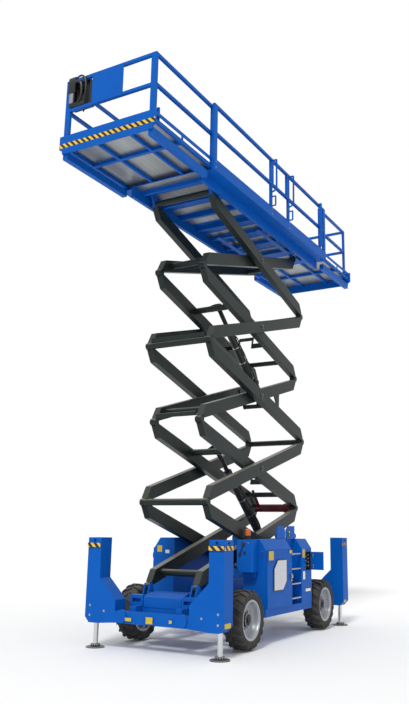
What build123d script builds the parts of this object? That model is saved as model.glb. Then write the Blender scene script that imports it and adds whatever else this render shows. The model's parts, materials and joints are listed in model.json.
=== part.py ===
"""Rough-terrain scissor lift with outriggers and a roll-out deck at each end.

Millimetres. +X is the front (the long roll-out deck's end), +Y the left side
with the ladder, +Z up. The origin is on the ground under the chassis centre.
The platform is part raised and the outriggers stand on their pads.
"""
import os
from math import asin, atan2, cos, degrees, pi, radians, sin, sqrt

from build123d import *

os.makedirs("parts", exist_ok=True)

# ---- clearances -------------------------------------------------------------
RUNNING_FIT = 0.05       # shaft in its bore, on radius
PIVOT_SLACK = 1.0        # pin in a bore of the open pivots, on radius
GAP = 5.0                # between pieces that move past each other
ROD_GAP = 2.0            # outrigger rod in its guide plate, on radius

# ---- wheels -----------------------------------------------------------------
TYRE_RADIUS = 420.0
TYRE_WIDTH = 300.0
RIM_RADIUS = 292.0
TYRE_SIDES = 30          # flats around the tyre's core
RIM_SIDES = 20
HUB_RADIUS = 95.0
TYRE_OUTER_Y = 1106.0
FRONT_AXLE_X = 1376.0
REAR_AXLE_X = -1498.0
WHEEL_LIFT = 15.0        # tyres just off the ground on the outriggers
KINGPIN_Y = 800.0
KINGPIN_RADIUS = 24.0
SPINDLE_RADIUS = 40.0
LUG_COUNT = 15
LUG_HEIGHT = 26.0
LUG_WIDTH = 62.0
SHOULDER = 48.0

# ---- chassis ----------------------------------------------------------------
FRAME_END_X = 2290.0
FRAME_RAIL_Y = 400.0
FRAME_RAIL_WIDTH = 100.0
FRAME_BOTTOM_Z = 470.0
FRAME_TOP_Z = 620.0
PLATE = 8.0              # sheet and plate of the chassis and cabinets

# ---- outriggers -------------------------------------------------------------
POST_FRONT_X = 2400.0    # outer face of the front posts
POST_REAR_X = 2400.0     # outer face of the rear posts, to the rear
POST_DEPTH = 255.0
POST_WIDTH = 245.0
POST_OUTER_Y = 1190.0
POST_TOP_Z = 1585.0
POST_BOTTOM_Z = 405.0
SHOULDER_TOP_Z = 1000.0
SHOULDER_LOW_Z = 800.0
SHOULDER_INNER_Y = 640.0
LEG_RADIUS = 36.0
PAD_RADIUS = 140.0
PAD_HEIGHT = 14.0
LEG_HUB_HEIGHT = 36.0
LEG_TRAVEL = 300.0
BEAM_TOP_Z = 550.0
BEAM_BOTTOM_Z = 385.0
BEAM_DEPTH = 110.0
BOSS_RADIUS = 92.0
BOSS_Y = 520.0

# ---- cabinets ---------------------------------------------------------------
CAB_FRONT_X = 830.0
CAB_REAR_X = -970.0
CAB_OUTER_Y = 1050.0
CAB_INNER_Y = 655.0
CAB_TOP_Z = 1575.0
CAB_BOTTOM_Z = 525.0
CAB_EAVE_Z = 1415.0      # where the sloped top panel meets the door
CAB_EAVE_DEPTH = 110.0
DOOR_REAR_X = -105.0
LADDER_REAR_X = -555.0
SILL_BOTTOM_Z = 415.0
DOOR_THICK = 25.0
RUNG_Z = (620.0, 850.0, 1090.0, 1330.0)
RUNG_RADIUS = 14.0
MANUAL_BOX_INNER_Y = 625.0
CONTROL_DOOR_WIDTH = 235.0
CONTROL_DOOR_HEIGHT = 305.0
CONTROL_DOOR_BOTTOM_Z = 1050.0

# ---- scissor ----------------------------------------------------------------
LEVELS = 5
ARM_LENGTH = 3746.0      # pivot to pivot
ARM_PITCH = 215.0        # rise of one level when stowed
ARM_DEPTH = 200.0
ARM_WIDTH = 110.0
ARM_NOSE = 35.0          # tube past the end pivot
ARM_KNEE = 170.0         # slant of the tube's ends
RISE = 1253.0            # rise of one level as it stands
INNER_Y = 420.0
OUTER_Y = 560.0
FIXED_PIVOT_X = 1876.0
FIRST_PIVOT_Z = 872.0
LUG_RADIUS = 52.0
TONGUE_WIDTH = 50.0
PIN_RADIUS = 25.0
LUG_SIDES = 8
ROUND = 0                # sides of a disc that is truly round
CENTRE_PIN_RADIUS = 35.0
ROLLER_RADIUS = 52.0

# round tube of the inner arms, as place along, place across and radius, by the way they lean
INNER_TUBES = {-1: (-1540, 0, 50), 1: (700, 45, 52)}
REAR_BAR = (-1279.0, -40.0)   # flat bar of the arms that lean forwards
END_BEAM = ((-1884, -1840), (-45, 20))

# flat bar stepped up over the lift cylinder, along and across the tubes
STEP_U = -555.0
STEP_LOW = (-90.0, -4.0)
STEP_HIGH = (82.0, 138.0)
STEP_HALF = 130.0
BAR_THICK = 30.0
TOP_TUBE = (1320, -50, 45)    # rear tube of the uppermost inner arms
PROP_LEVEL = 1

# ---- lift cylinders, placed along and across the tubes they join ------------
CYLINDER_LEVELS = (1, 3)
BARREL_PIN = (1140.0, -200.0)
BARREL_BEAM = (1140.0, -303.0)
BARREL_BEAM_RADIUS = 40.0
ROD_PIN = (600.0, 150.0)
BARREL_RADIUS = 70.0
BARREL_LENGTH = 1650.0
BARREL_NECK = 130.0
BORE_START = 255.0
ROD_RADIUS = 40.0
ROD_LENGTH = 1540.0
EYE_RADIUS = 50.0
EYE_WIDTH = 80.0
EYE_PIN_RADIUS = 28.0
EAR = 20.0

# ---- platform ---------------------------------------------------------------
DECK_FRONT_X = 2386.0
DECK_REAR_X = -2308.0
DECK_HALF_WIDTH = 903.0
DECK_Z = 7277.0          # walking surface of the main deck
DECK_UNDER_Z = 7240.0
DECK_SHEET = 4.0
FLOOR_HALF_WIDTH = 740.0 # main floor between the channels the roll-out decks run in
MEMBER_X = (-1950, -1350, -750, -150, 380, 950, 1550, 2150)
TOE_TOP_Z = 7430.0
RAIL_TOP_Z = 8400.0
RAIL_MID_Z = 7893.0
RAIL_SIZE = 48.0
ROLL_OUT_HALF_WIDTH = 843.0
ROLL_OUT_FLOOR_Z = 7342.0
TOE_THICK = 12.0
FASCIA_HALF_WIDTH = 875.0
FASCIA_TOP_Z = 7457.0
FASCIA_BOTTOM_Z = 7165.0
ROLL_OUT_FRONT_X = 3965.0
ROLL_OUT_REAR_X = -3865.0
ROLL_OUT_FRONT_INNER_X = 2250.0
ROLL_OUT_REAR_INNER_X = -2140.0
GATE_FRONT_X = 291.0
GATE_REAR_X = -457.0

# ---- worked out -------------------------------------------------------------
WHEEL_Z = TYRE_RADIUS + WHEEL_LIFT
TYRE_MID_Y = TYRE_OUTER_Y - TYRE_WIDTH / 2
REST_ANGLE = degrees(asin(RISE / ARM_LENGTH))
SPAN = sqrt(ARM_LENGTH**2 - RISE**2)
CENTRE_X = FIXED_PIVOT_X - SPAN / 2
HALF_PITCH = ARM_PITCH / 2
HALF_REACH = sqrt((ARM_LENGTH / 2) ** 2 - HALF_PITCH**2)
TUBE_ANGLE = REST_ANGLE - degrees(atan2(HALF_PITCH, HALF_REACH))
RELIEF_RADIUS = LUG_RADIUS / cos(pi / LUG_SIDES) + GAP
PLATFORM_PIVOT_Z = FIRST_PIVOT_Z + LEVELS * RISE
POST_MID_Y = POST_OUTER_Y - POST_WIDTH / 2
FRONT_RAIL_X = ROLL_OUT_FRONT_X - 30 - RAIL_SIZE / 2


# ---- helpers ----------------------------------------------------------------
def finish(piece, name):
    """Labels a finished sub-part and writes it."""
    piece.part.label = name
    export_step(piece.part, f"parts/{name}.step")


def block(x, y, z, mode=Mode.ADD):
    """A rectangular block between two limits on each axis."""
    with Locations(((x[0] + x[1]) / 2, (y[0] + y[1]) / 2, (z[0] + z[1]) / 2)):
        Box(abs(x[1] - x[0]), abs(y[1] - y[0]), abs(z[1] - z[0]), mode=mode)


def bar(start, end, radius, mode=Mode.ADD):
    """A round bar between two points, for what turns or slides."""
    run = Vector(*end) - Vector(*start)
    with Locations(Plane(origin=start, z_dir=run)):
        Cylinder(radius, run.length, align=(Align.CENTER, Align.CENTER, Align.MIN), mode=mode)


def tube(start, end, radius, mode=Mode.ADD, sides=12):
    """A flat-sided bar between two points, for what is only seen."""
    run = Vector(*end) - Vector(*start)
    prism(Plane(origin=start, z_dir=run), radius, sides, run.length, mode)


def side_plate(points, y, mode=Mode.ADD):
    """An outline in X and Z, extruded between two values of Y."""
    with BuildSketch(Plane.XZ.offset(-max(y))) as outline:
        Polygon(*points, align=None)
    extrude(outline.sketch, amount=abs(y[1] - y[0]), mode=mode)


def end_plate(points, x, mode=Mode.ADD):
    """An outline in Y and Z, extruded between two values of X."""
    with BuildSketch(Plane.YZ.offset(min(x))) as outline:
        Polygon(*points, align=None)
    extrude(outline.sketch, amount=abs(x[1] - x[0]), mode=mode)


def prism(plane, radius, sides, length, mode=Mode.ADD):
    """A right prism, its flats at least radius from the axis."""
    with BuildSketch(plane) as outline:
        RegularPolygon(radius, sides, major_radius=False)
    extrude(outline.sketch, amount=length, mode=mode)


def both_sides(limits, side):
    """Limits on Y for the left (1) or right (-1) side."""
    return (side * limits[0], side * limits[1])


# ---- chassis ----------------------------------------------------------------
def chassis_frame():
    """Two box rails with cross members, the nose box and the fixed pivots."""
    rail = (FRAME_RAIL_Y - FRAME_RAIL_WIDTH / 2, FRAME_RAIL_Y + FRAME_RAIL_WIDTH / 2)
    z = (FRAME_BOTTOM_Z, FRAME_TOP_Z)
    with BuildPart() as frame:
        for side in (1, -1):
            block((-FRAME_END_X, FRAME_END_X), both_sides(rail, side), z)
        for x in (-2200, -1400, -300, 400, 2050):
            block((x - 60, x + 60), (-rail[0], rail[0]), (z[0] + 10, z[1] - 10))
        nose_box()
        for side in (1, -1):
            nose_pocket(side)
            pivot_bracket(side)
            cabinet_bearers(side)
    finish(frame, "chassis_frame")


def nose_box():
    """Folded box between the arms' front ends."""
    top = FIRST_PIVOT_Z - 72
    side_plate([(2120, 600), (2120, 742), (1950, top), (1700, top), (1600, 600)], (-330, 330))


def nose_pocket(side):
    """Bracket in front of a pivot, with an open pocket."""
    front = 2130
    block((1990, front), both_sides((340, 565), side), (FRAME_TOP_Z, 765))
    block((front - 60, front), both_sides((375, 530), side), (665, 718), mode=Mode.SUBTRACT)


def pivot_bracket(side):
    """Two cheeks that hold an inner arm's lower front end, on the rail."""
    cheek = (TONGUE_WIDTH / 2 + GAP, ARM_WIDTH / 2)
    x, z = FIXED_PIVOT_X, FIRST_PIVOT_Z
    points = [
        (x - 150, FRAME_TOP_Z - 5), (x + 150, FRAME_TOP_Z - 5), (x + LUG_RADIUS, z - 20),
        (x + LUG_RADIUS * 0.6, z + LUG_RADIUS), (x - LUG_RADIUS * 0.6, z + LUG_RADIUS), (x - LUG_RADIUS, z - 20),
    ]
    for hand in (1, -1):
        side_plate(points, sorted(side * INNER_Y + hand * c for c in cheek))
    bar((x, side * INNER_Y - ARM_WIDTH / 2, z), (x, side * INNER_Y + ARM_WIDTH / 2, z), PIN_RADIUS)


def roller_tracks():
    """Channels beside the frame along which the lowest outer arms' rollers run."""
    flange = (OUTER_Y - 45, OUTER_Y + ARM_WIDTH / 2)
    low = FIRST_PIVOT_Z - ROLLER_RADIUS - 1
    with BuildPart() as tracks:
        for side in (1, -1):
            block((-2010, -20), both_sides(flange, side), (low - 14, low))
            block((-2010, -20), both_sides((flange[0], flange[0] + 15), side), (FRAME_TOP_Z - 60, low - 14))
            for foot in (-1900, -1000, -150):
                block((foot - 40, foot + 40), both_sides((FRAME_RAIL_Y + 50, flange[0]), side),
                      (FRAME_TOP_Z - 60, FRAME_TOP_Z - 10))
    finish(tracks, "roller_tracks")


def cabinet_bearers(side):
    """Outriggers of the frame that carry a cabinet."""
    for x in (-800, 650):
        block((x - 50, x + 50), both_sides((FRAME_RAIL_Y, CAB_INNER_Y), side), (FRAME_BOTTOM_Z, CAB_BOTTOM_Z))


def axles():
    """The steered front beam and the fixed rear beam with its differential."""
    with BuildPart() as front:
        block((FRONT_AXLE_X - 65, FRONT_AXLE_X + 65), (-640, 640), (WHEEL_Z - 60, FRAME_BOTTOM_Z))
        for side in (1, -1):
            block((FRONT_AXLE_X - 65, FRONT_AXLE_X + 65), both_sides((600, 690), side), (WHEEL_Z - 95, WHEEL_Z + 30))
            pin = (FRONT_AXLE_X, side * KINGPIN_Y)
            bar((*pin, WHEEL_Z - 106), (*pin, WHEEL_Z + 106), KINGPIN_RADIUS)
            for z in (-135, 105):
                block((FRONT_AXLE_X - 45, FRONT_AXLE_X + 45), both_sides((650, KINGPIN_Y + 35), side),
                      (WHEEL_Z + z, WHEEL_Z + z + 30))
            block((FRONT_AXLE_X - 45, FRONT_AXLE_X + 45), both_sides((650, 700), side),
                  (WHEEL_Z - 135, WHEEL_Z + 135))
    finish(front, "front_axle")
    with BuildPart() as rear:
        block((REAR_AXLE_X - 70, REAR_AXLE_X + 70), (-720, 720), (WHEEL_Z - 75, FRAME_BOTTOM_Z))
        for side in (1, -1):
            bar((REAR_AXLE_X, side * 710, WHEEL_Z), (REAR_AXLE_X, side * (TYRE_MID_Y + 60), WHEEL_Z),
                SPINDLE_RADIUS)
        prism(Plane.XY.offset(WHEEL_Z - 150).move(Location((REAR_AXLE_X, 0, 0))), 150, 8, 170)
    finish(rear, "rear_axle")


def knuckle(side, name):
    """Steering knuckle: a yoke on the kingpin with the wheel's spindle."""
    y = side * KINGPIN_Y
    with BuildPart() as piece:
        prism(Plane((FRONT_AXLE_X, y, WHEEL_Z - 100)), 52, 10, 200)
        bar((FRONT_AXLE_X, y, WHEEL_Z), (FRONT_AXLE_X, side * (TYRE_MID_Y + 60), WHEEL_Z), SPINDLE_RADIUS)
        block((FRONT_AXLE_X - 230, FRONT_AXLE_X), both_sides((KINGPIN_Y - 40, KINGPIN_Y - 10), side),
              (WHEEL_Z - 20, WHEEL_Z + 20))
        prism(Plane((FRONT_AXLE_X, y, WHEEL_Z - 110)), KINGPIN_RADIUS + PIVOT_SLACK, 12, 220, Mode.SUBTRACT)
    finish(piece, name)


def tyre_shape():
    """Tyre about the Y axis: a core with sloped shoulders and two rows of chevron lugs."""
    half = TYRE_WIDTH / 2
    tread = TYRE_RADIUS - LUG_HEIGHT
    with BuildPart() as tyre:
        prism(Plane.XZ.offset(-half), tread, TYRE_SIDES, TYRE_WIDTH)
        chamfer(tyre.edges().filter_by(Axis.Y, reverse=True), SHOULDER)
        prism(Plane.XZ.offset(-half), RIM_RADIUS, TYRE_SIDES, TYRE_WIDTH, Mode.SUBTRACT)
        for row in (1, -1):
            for i in range(LUG_COUNT):
                turn = radians(360 / LUG_COUNT * (i + (0.25 if row > 0 else 0.75)))
                foot = Plane(origin=(0, 0, 0), x_dir=(0, 1, 0), z_dir=(cos(turn), 0, sin(turn))).offset(tread - 16)
                with BuildSketch(foot) as lug:
                    Polygon((row * (half - 4), -LUG_WIDTH / 2 - 14), (row * (half - 4), LUG_WIDTH / 2 - 14),
                            (-row * 12, LUG_WIDTH / 2 + 30), (-row * 12, -LUG_WIDTH / 2 + 44), align=None)
                extrude(lug.sketch, amount=LUG_HEIGHT + 16)
    return tyre.part


def rim_shape():
    """Dished rim about the Y axis, its face towards +Y: a barrel, a deep disc and the hub."""
    half = TYRE_WIDTH / 2 - 20
    with BuildPart() as rim:
        prism(Plane.XZ.offset(-half), RIM_RADIUS - 6, RIM_SIDES, 2 * half)
        prism(Plane.XZ.offset(-half), 258, RIM_SIDES, half - 12, Mode.SUBTRACT)
        prism(Plane.XZ.offset(4), 258, RIM_SIDES, half, Mode.SUBTRACT)
        prism(Plane.XZ.offset(-75), HUB_RADIUS, 12, 125)
        prism(Plane.XZ.offset(-65), SPINDLE_RADIUS + 1, 12, 130, Mode.SUBTRACT)
    return rim.part


def wheels():
    """Four wheels, each a tyre and a rim with its face outwards."""
    tyre = tyre_shape()
    rim = rim_shape()
    for x, end in ((FRONT_AXLE_X, "front"), (REAR_AXLE_X, "rear")):
        for side, hand in ((1, "left"), (-1, "right")):
            for shape, kind in ((tyre, "tyre"), (rim, "rim")):
                faced = shape if side > 0 else mirror(shape, about=Plane.XZ)
                with BuildPart() as piece:
                    add(faced.moved(Location((x, side * TYRE_MID_Y, WHEEL_Z))))
                finish(piece, f"{kind}_{end}_{hand}")


# ---- outriggers -------------------------------------------------------------
def outrigger_frame(end, name):
    """One end's cross beam with a leg housing at each side, and its two legs."""
    outer_x = end * (POST_FRONT_X if end > 0 else POST_REAR_X)
    with BuildPart() as frame:
        cross_beam(end, outer_x)
        for side in (1, -1):
            housing(end, side, outer_x)
    finish(frame, f"{name}_outriggers")
    for side, hand in ((1, "left"), (-1, "right")):
        leg(outer_x - end * POST_DEPTH / 2, side * POST_MID_Y, f"leg_{name}_{hand}")


def housing(end, side, outer_x):
    """Tall post with a shoulder that widens to the cross beam, hollow for its leg."""
    inner_x = outer_x - end * POST_DEPTH
    mid_x = (outer_x + inner_x) / 2
    inner_y = POST_OUTER_Y - POST_WIDTH
    outline = [
        (POST_OUTER_Y, POST_BOTTOM_Z + 35), (POST_OUTER_Y, POST_TOP_Z), (inner_y, POST_TOP_Z),
        (inner_y, SHOULDER_TOP_Z), (SHOULDER_INNER_Y + 190, SHOULDER_LOW_Z + 90),
        (SHOULDER_INNER_Y + 60, SHOULDER_LOW_Z - 40), (SHOULDER_INNER_Y, SHOULDER_LOW_Z - 100),
        (SHOULDER_INNER_Y, BEAM_BOTTOM_Z), (inner_y, POST_BOTTOM_Z - 45), (POST_OUTER_Y - 75, POST_BOTTOM_Z - 45),
    ]
    end_plate(mirrored(outline, side), (outer_x, inner_x))
    guide = LEG_RADIUS + ROD_GAP
    block((mid_x - guide, mid_x + guide), (side * POST_MID_Y - guide, side * POST_MID_Y + guide),
          (POST_BOTTOM_Z - 50, POST_TOP_Z - 60), mode=Mode.SUBTRACT)
    block((outer_x, outer_x - end * 30), (side * POST_MID_Y - 20, side * POST_MID_Y + 20),
          (POST_TOP_Z - 62, POST_TOP_Z - 22), mode=Mode.SUBTRACT)
    block((mid_x - 25, mid_x + 25), both_sides((POST_OUTER_Y - 30, POST_OUTER_Y), side),
          (POST_TOP_Z - 62, POST_TOP_Z - 30), mode=Mode.SUBTRACT)


def leg(x, y, name):
    """Rod of one outrigger with its round pad."""
    with BuildPart() as piece:
        prism(Plane((x, y, 0)), PAD_RADIUS, 20, PAD_HEIGHT)
        prism(Plane((x, y, PAD_HEIGHT)), 70, 12, LEG_HUB_HEIGHT)
        tube((x, y, PAD_HEIGHT + LEG_HUB_HEIGHT - 5), (x, y, POST_TOP_Z - 100 - LEG_TRAVEL), LEG_RADIUS, sides=16)
    finish(piece, name)


def cross_beam(end, outer_x):
    """Box beam between two housings, with a round boss near each end."""
    inner = outer_x - end * BEAM_DEPTH
    middle = (BEAM_TOP_Z + BEAM_BOTTOM_Z) / 2
    block((inner, outer_x), (-SHOULDER_INNER_Y, SHOULDER_INNER_Y), (BEAM_BOTTOM_Z, BEAM_TOP_Z))
    for side in (1, -1):
        tube((outer_x - end * 40, side * BOSS_Y, middle + 12), (outer_x + end * 22, side * BOSS_Y, middle + 12),
             BOSS_RADIUS, sides=16)


# ---- cabinets ---------------------------------------------------------------
def cabinet_section():
    """Outline of a cabinet across the machine, for the left side."""
    return [
        (CAB_INNER_Y, CAB_BOTTOM_Z), (CAB_OUTER_Y, CAB_BOTTOM_Z), (CAB_OUTER_Y, CAB_EAVE_Z),
        (CAB_OUTER_Y - CAB_EAVE_DEPTH, CAB_TOP_Z), (CAB_INNER_Y, CAB_TOP_Z),
    ]


def inset_section(wall):
    """The cabinet's hollow, a wall inside its outline."""
    return [
        (CAB_INNER_Y + wall, CAB_BOTTOM_Z + wall), (CAB_OUTER_Y - wall, CAB_BOTTOM_Z + wall),
        (CAB_OUTER_Y - wall, CAB_EAVE_Z - wall), (CAB_OUTER_Y - CAB_EAVE_DEPTH - wall, CAB_TOP_Z - wall),
        (CAB_INNER_Y + wall, CAB_TOP_Z - wall),
    ]


def mirrored(points, side):
    """An outline in Y and Z, turned over for the right side."""
    return [(side * y, z) for y, z in points]


def lifting_eye(side):
    """Plate with a hole on a cabinet's roof, near its rear end."""
    start = Plane(origin=(CAB_REAR_X + 123, side * (CAB_INNER_Y + 110), CAB_TOP_Z + 46), z_dir=(1, 0, 0))
    prism(start, 50, 10, 14)
    prism(start, 28, 8, 14, Mode.SUBTRACT)


def left_cabinet():
    """Cabinet with a door, a recessed ladder well and the control recess."""
    with BuildPart() as body:
        end_plate(cabinet_section(), (CAB_REAR_X, CAB_FRONT_X))
        end_plate(inset_section(PLATE), (DOOR_REAR_X + PLATE, CAB_FRONT_X - PLATE), mode=Mode.SUBTRACT)
        block((DOOR_REAR_X + PLATE + 15, CAB_FRONT_X - PLATE - 15), (CAB_OUTER_Y - 40, CAB_OUTER_Y + 5),
              (CAB_BOTTOM_Z + 30, CAB_EAVE_Z - 20), mode=Mode.SUBTRACT)
        block((LADDER_REAR_X + PLATE, DOOR_REAR_X - PLATE), (CAB_OUTER_Y - 165, CAB_OUTER_Y + 5),
              (CAB_BOTTOM_Z - 5, CAB_TOP_Z + 5), mode=Mode.SUBTRACT)
        block((CAB_REAR_X + 25, CAB_REAR_X + 25 + CONTROL_DOOR_WIDTH), (CAB_OUTER_Y - 120, CAB_OUTER_Y + 5),
              (CONTROL_DOOR_BOTTOM_Z, CONTROL_DOOR_BOTTOM_Z + CONTROL_DOOR_HEIGHT), mode=Mode.SUBTRACT)
        block((CAB_REAR_X, CAB_FRONT_X), (CAB_INNER_Y, CAB_OUTER_Y - 5), (SILL_BOTTOM_Z, CAB_BOTTOM_Z))
        lifting_eye(1)
    finish(body, "left_cabinet")
    door("left", 1)
    with BuildPart() as panel:
        block((CAB_REAR_X + 45, CAB_REAR_X + 215), (CAB_OUTER_Y - 120, CAB_OUTER_Y - 70),
              (CONTROL_DOOR_BOTTOM_Z + 25, CONTROL_DOOR_BOTTOM_Z + CONTROL_DOOR_HEIGHT - 25))
    finish(panel, "ground_control_panel")
    with BuildPart() as flap:
        block((CAB_REAR_X + 8, CAB_REAR_X + 20), (CAB_OUTER_Y + 3, CAB_OUTER_Y + CONTROL_DOOR_WIDTH),
              (CONTROL_DOOR_BOTTOM_Z, CONTROL_DOOR_BOTTOM_Z + CONTROL_DOOR_HEIGHT))
        for z in (CONTROL_DOOR_BOTTOM_Z + 30, CONTROL_DOOR_BOTTOM_Z + CONTROL_DOOR_HEIGHT - 80):
            bar((CAB_REAR_X + 14, CAB_OUTER_Y + 14, z), (CAB_REAR_X + 14, CAB_OUTER_Y + 14, z + 50), 8)
    finish(flap, "control_door")


def right_cabinet():
    """Engine cabinet with one long door."""
    with BuildPart() as body:
        end_plate(mirrored(cabinet_section(), -1), (CAB_REAR_X, CAB_FRONT_X))
        end_plate(mirrored(inset_section(PLATE), -1), (CAB_REAR_X + PLATE, CAB_FRONT_X - PLATE), mode=Mode.SUBTRACT)
        block((DOOR_REAR_X + PLATE + 15, CAB_FRONT_X - PLATE - 15), (-CAB_OUTER_Y - 5, -CAB_OUTER_Y + 40),
              (CAB_BOTTOM_Z + 30, CAB_EAVE_Z - 20), mode=Mode.SUBTRACT)
        block((CAB_REAR_X, CAB_FRONT_X), (-CAB_OUTER_Y + 5, -CAB_INNER_Y), (SILL_BOTTOM_Z, CAB_BOTTOM_Z))
        lifting_eye(-1)
    finish(body, "right_cabinet")
    door("right", -1)
    with BuildPart() as engine:
        block((-60, 620), (-CAB_OUTER_Y + 60, -CAB_INNER_Y - 40), (CAB_BOTTOM_Z + PLATE, 1180))
    finish(engine, "engine_block")


def door(hand, side):
    """Flat door leaf in front of a cabinet's opening."""
    with BuildPart() as leaf:
        block((DOOR_REAR_X + 10, CAB_FRONT_X - 6), both_sides((CAB_OUTER_Y + 2, CAB_OUTER_Y + DOOR_THICK), side),
              (CAB_BOTTOM_Z + 10, CAB_EAVE_Z - 4))
        for z in (CAB_BOTTOM_Z + 90, CAB_EAVE_Z - 170):
            hinge_line = (CAB_FRONT_X - 6, side * (CAB_OUTER_Y + 27))
            bar((*hinge_line, z), (*hinge_line, z + 80), 9)
    finish(leaf, f"{hand}_door")


def ladder():
    """Rungs in the well beside the door, with the two lugs above."""
    lug_y = (CAB_OUTER_Y - 150, CAB_OUTER_Y - 130)
    with BuildPart() as piece:
        for z in RUNG_Z:
            start = Plane(origin=(LADDER_REAR_X + PLATE, CAB_OUTER_Y - 20, z), z_dir=(1, 0, 0))
            prism(start, RUNG_RADIUS, 8, DOOR_REAR_X - LADDER_REAR_X - 2 * PLATE)
        front, rear = DOOR_REAR_X + 260, DOOR_REAR_X - 60
        side_plate([(rear, CAB_TOP_Z), (front, CAB_TOP_Z), (front, 1700), (front - 28, 1760), (front - 90, 1790),
                    (rear + 90, 1790), (rear + 28, 1760), (rear, 1700)], lug_y)
        front, rear = DOOR_REAR_X - 110, LADDER_REAR_X + 10
        side_plate([(rear, CAB_TOP_Z), (front, CAB_TOP_Z), (front, 1725), (front - 80, 1790), (rear, 1790)], lug_y)
        block((front - 110, front - 80), lug_y, (1650, 1735), mode=Mode.SUBTRACT)
    finish(piece, "ladder")


def cabinet_fittings():
    """Manual box and beacon in front of the left cabinet and on it."""
    x, inner, outer = CAB_FRONT_X, MANUAL_BOX_INNER_Y, 915
    with BuildPart() as box:
        end_plate([(inner, 1160), (inner + 75, 1085), (outer, 1085), (outer, 1570), (inner, 1570)], (x, x + 200))
        chamfer(box.edges().filter_by(Axis.Z).sort_by(Axis.X)[-2:], 22)
        block((x, x + 90), (inner + 90, outer - 30), (1000, 1085))
    finish(box, "manual_box")
    with BuildPart() as beacon:
        prism(Plane((x - 70, 690, CAB_TOP_Z)), 38, 12, 60)
        prism(Plane((x - 70, 690, CAB_TOP_Z + 60)), 46, 12, 105)
        chamfer(beacon.edges().group_by(Axis.Z)[-1], 14)
    finish(beacon, "beacon")


# ---- scissor ----------------------------------------------------------------
def level_centre(level):
    """Height of a level's centre pin."""
    return FIRST_PIVOT_Z + (level - 0.5) * RISE


def arm_plane(level, y, way):
    """Plane in an arm's middle: X along the tube, from its low to its high end.

    way is 1 when the high end is at the front and -1 when it is at the rear.
    """
    a = radians(TUBE_ANGLE)
    return Plane(origin=(CENTRE_X, y, level_centre(level)), x_dir=(way * cos(a), 0, sin(a)), z_dir=(0, -way, 0))


def arm_outline():
    """A tube with slanted ends that bring each pivot to an acute corner."""
    half = ARM_DEPTH / 2
    return [
        (-HALF_REACH - ARM_NOSE, -half), (HALF_REACH - ARM_KNEE, -half),
        (HALF_REACH + ARM_NOSE, half), (-HALF_REACH + ARM_KNEE, half),
    ]


def arm(level, y, way, low_end, high_end, bore):
    """One arm. An end is tongue, cheeks or eye, which is a tongue as wide as the arm."""
    mid = arm_plane(level, y, way)
    with BuildSketch(mid) as outline:
        Polygon(*arm_outline(), align=None)
    extrude(outline.sketch, amount=ARM_WIDTH / 2, both=True)
    for u, v, kind in ((-HALF_REACH, -HALF_PITCH, low_end), (HALF_REACH, HALF_PITCH, high_end)):
        arm_end(mid, u, v, kind, ROUND if way > 0 else LUG_SIDES)
    if bore:
        disc(mid.offset(-ARM_WIDTH), 0, 0, CENTRE_PIN_RADIUS + PIVOT_SLACK, 2 * ARM_WIDTH, Mode.SUBTRACT,
             LUG_SIDES)


def arm_end(mid, u, v, kind, pin_sides):
    """Cuts one end free of its neighbour's lugs and adds this arm's own."""
    inner, outer = TONGUE_WIDTH / 2 + 1.5, ARM_WIDTH / 2
    if kind == "tongue":
        for z in ((inner, outer + 5), (-outer - 5, -inner)):
            disc(mid.offset(z[0]), u, v, RELIEF_RADIUS, z[1] - z[0], Mode.SUBTRACT, LUG_SIDES)
        disc(mid.offset(-TONGUE_WIDTH / 2), u, v, LUG_RADIUS, TONGUE_WIDTH, Mode.ADD, LUG_SIDES)
        disc(mid.offset(-TONGUE_WIDTH), u, v, PIN_RADIUS + PIVOT_SLACK, 2 * TONGUE_WIDTH, Mode.SUBTRACT, LUG_SIDES)
    elif kind == "cheeks":
        disc(mid.offset(-inner), u, v, RELIEF_RADIUS, 2 * inner, Mode.SUBTRACT, LUG_SIDES)
        for z in ((inner, outer), (-outer, -inner)):
            disc(mid.offset(z[0]), u, v, LUG_RADIUS, z[1] - z[0], Mode.ADD, LUG_SIDES)
        pin = PIN_RADIUS * cos(pi / pin_sides) if pin_sides else PIN_RADIUS
        disc(mid.offset(-inner - 2), u, v, pin, 2 * inner + 4, Mode.ADD, pin_sides)
    else:
        disc(mid.offset(-outer), u, v, LUG_RADIUS, ARM_WIDTH, Mode.ADD)


def disc(plane, u, v, radius, length, mode, sides=ROUND):
    """A round or flat-sided disc of some length, at u and v on a plane."""
    with BuildSketch(plane) as face:
        with Locations((u, v)):
            if sides:
                RegularPolygon(radius, sides, major_radius=False)
            else:
                Circle(radius)
    extrude(face.sketch, amount=length, mode=mode)


def tube_point(level, way, u, v):
    """World X and Z of a point given along and across an arm's tube."""
    a = radians(TUBE_ANGLE)
    x = CENTRE_X + way * (u * cos(a) - v * sin(a))
    z = level_centre(level) + u * sin(a) + v * cos(a)
    return x, z


def cross_tube(level, way, u, v, half, radius):
    """Round tube between the two arms of a pair."""
    x, z = tube_point(level, way, u, v)
    tube((x, -half, z), (x, half, z), radius)


def scissor_pairs():
    """Ten frames of two arms each, from the chassis up."""
    for level in range(1, LEVELS + 1):
        inner_way = -1 if level % 2 else 1
        inner_pair(level, inner_way)
        outer_pair(level, -inner_way)


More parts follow.
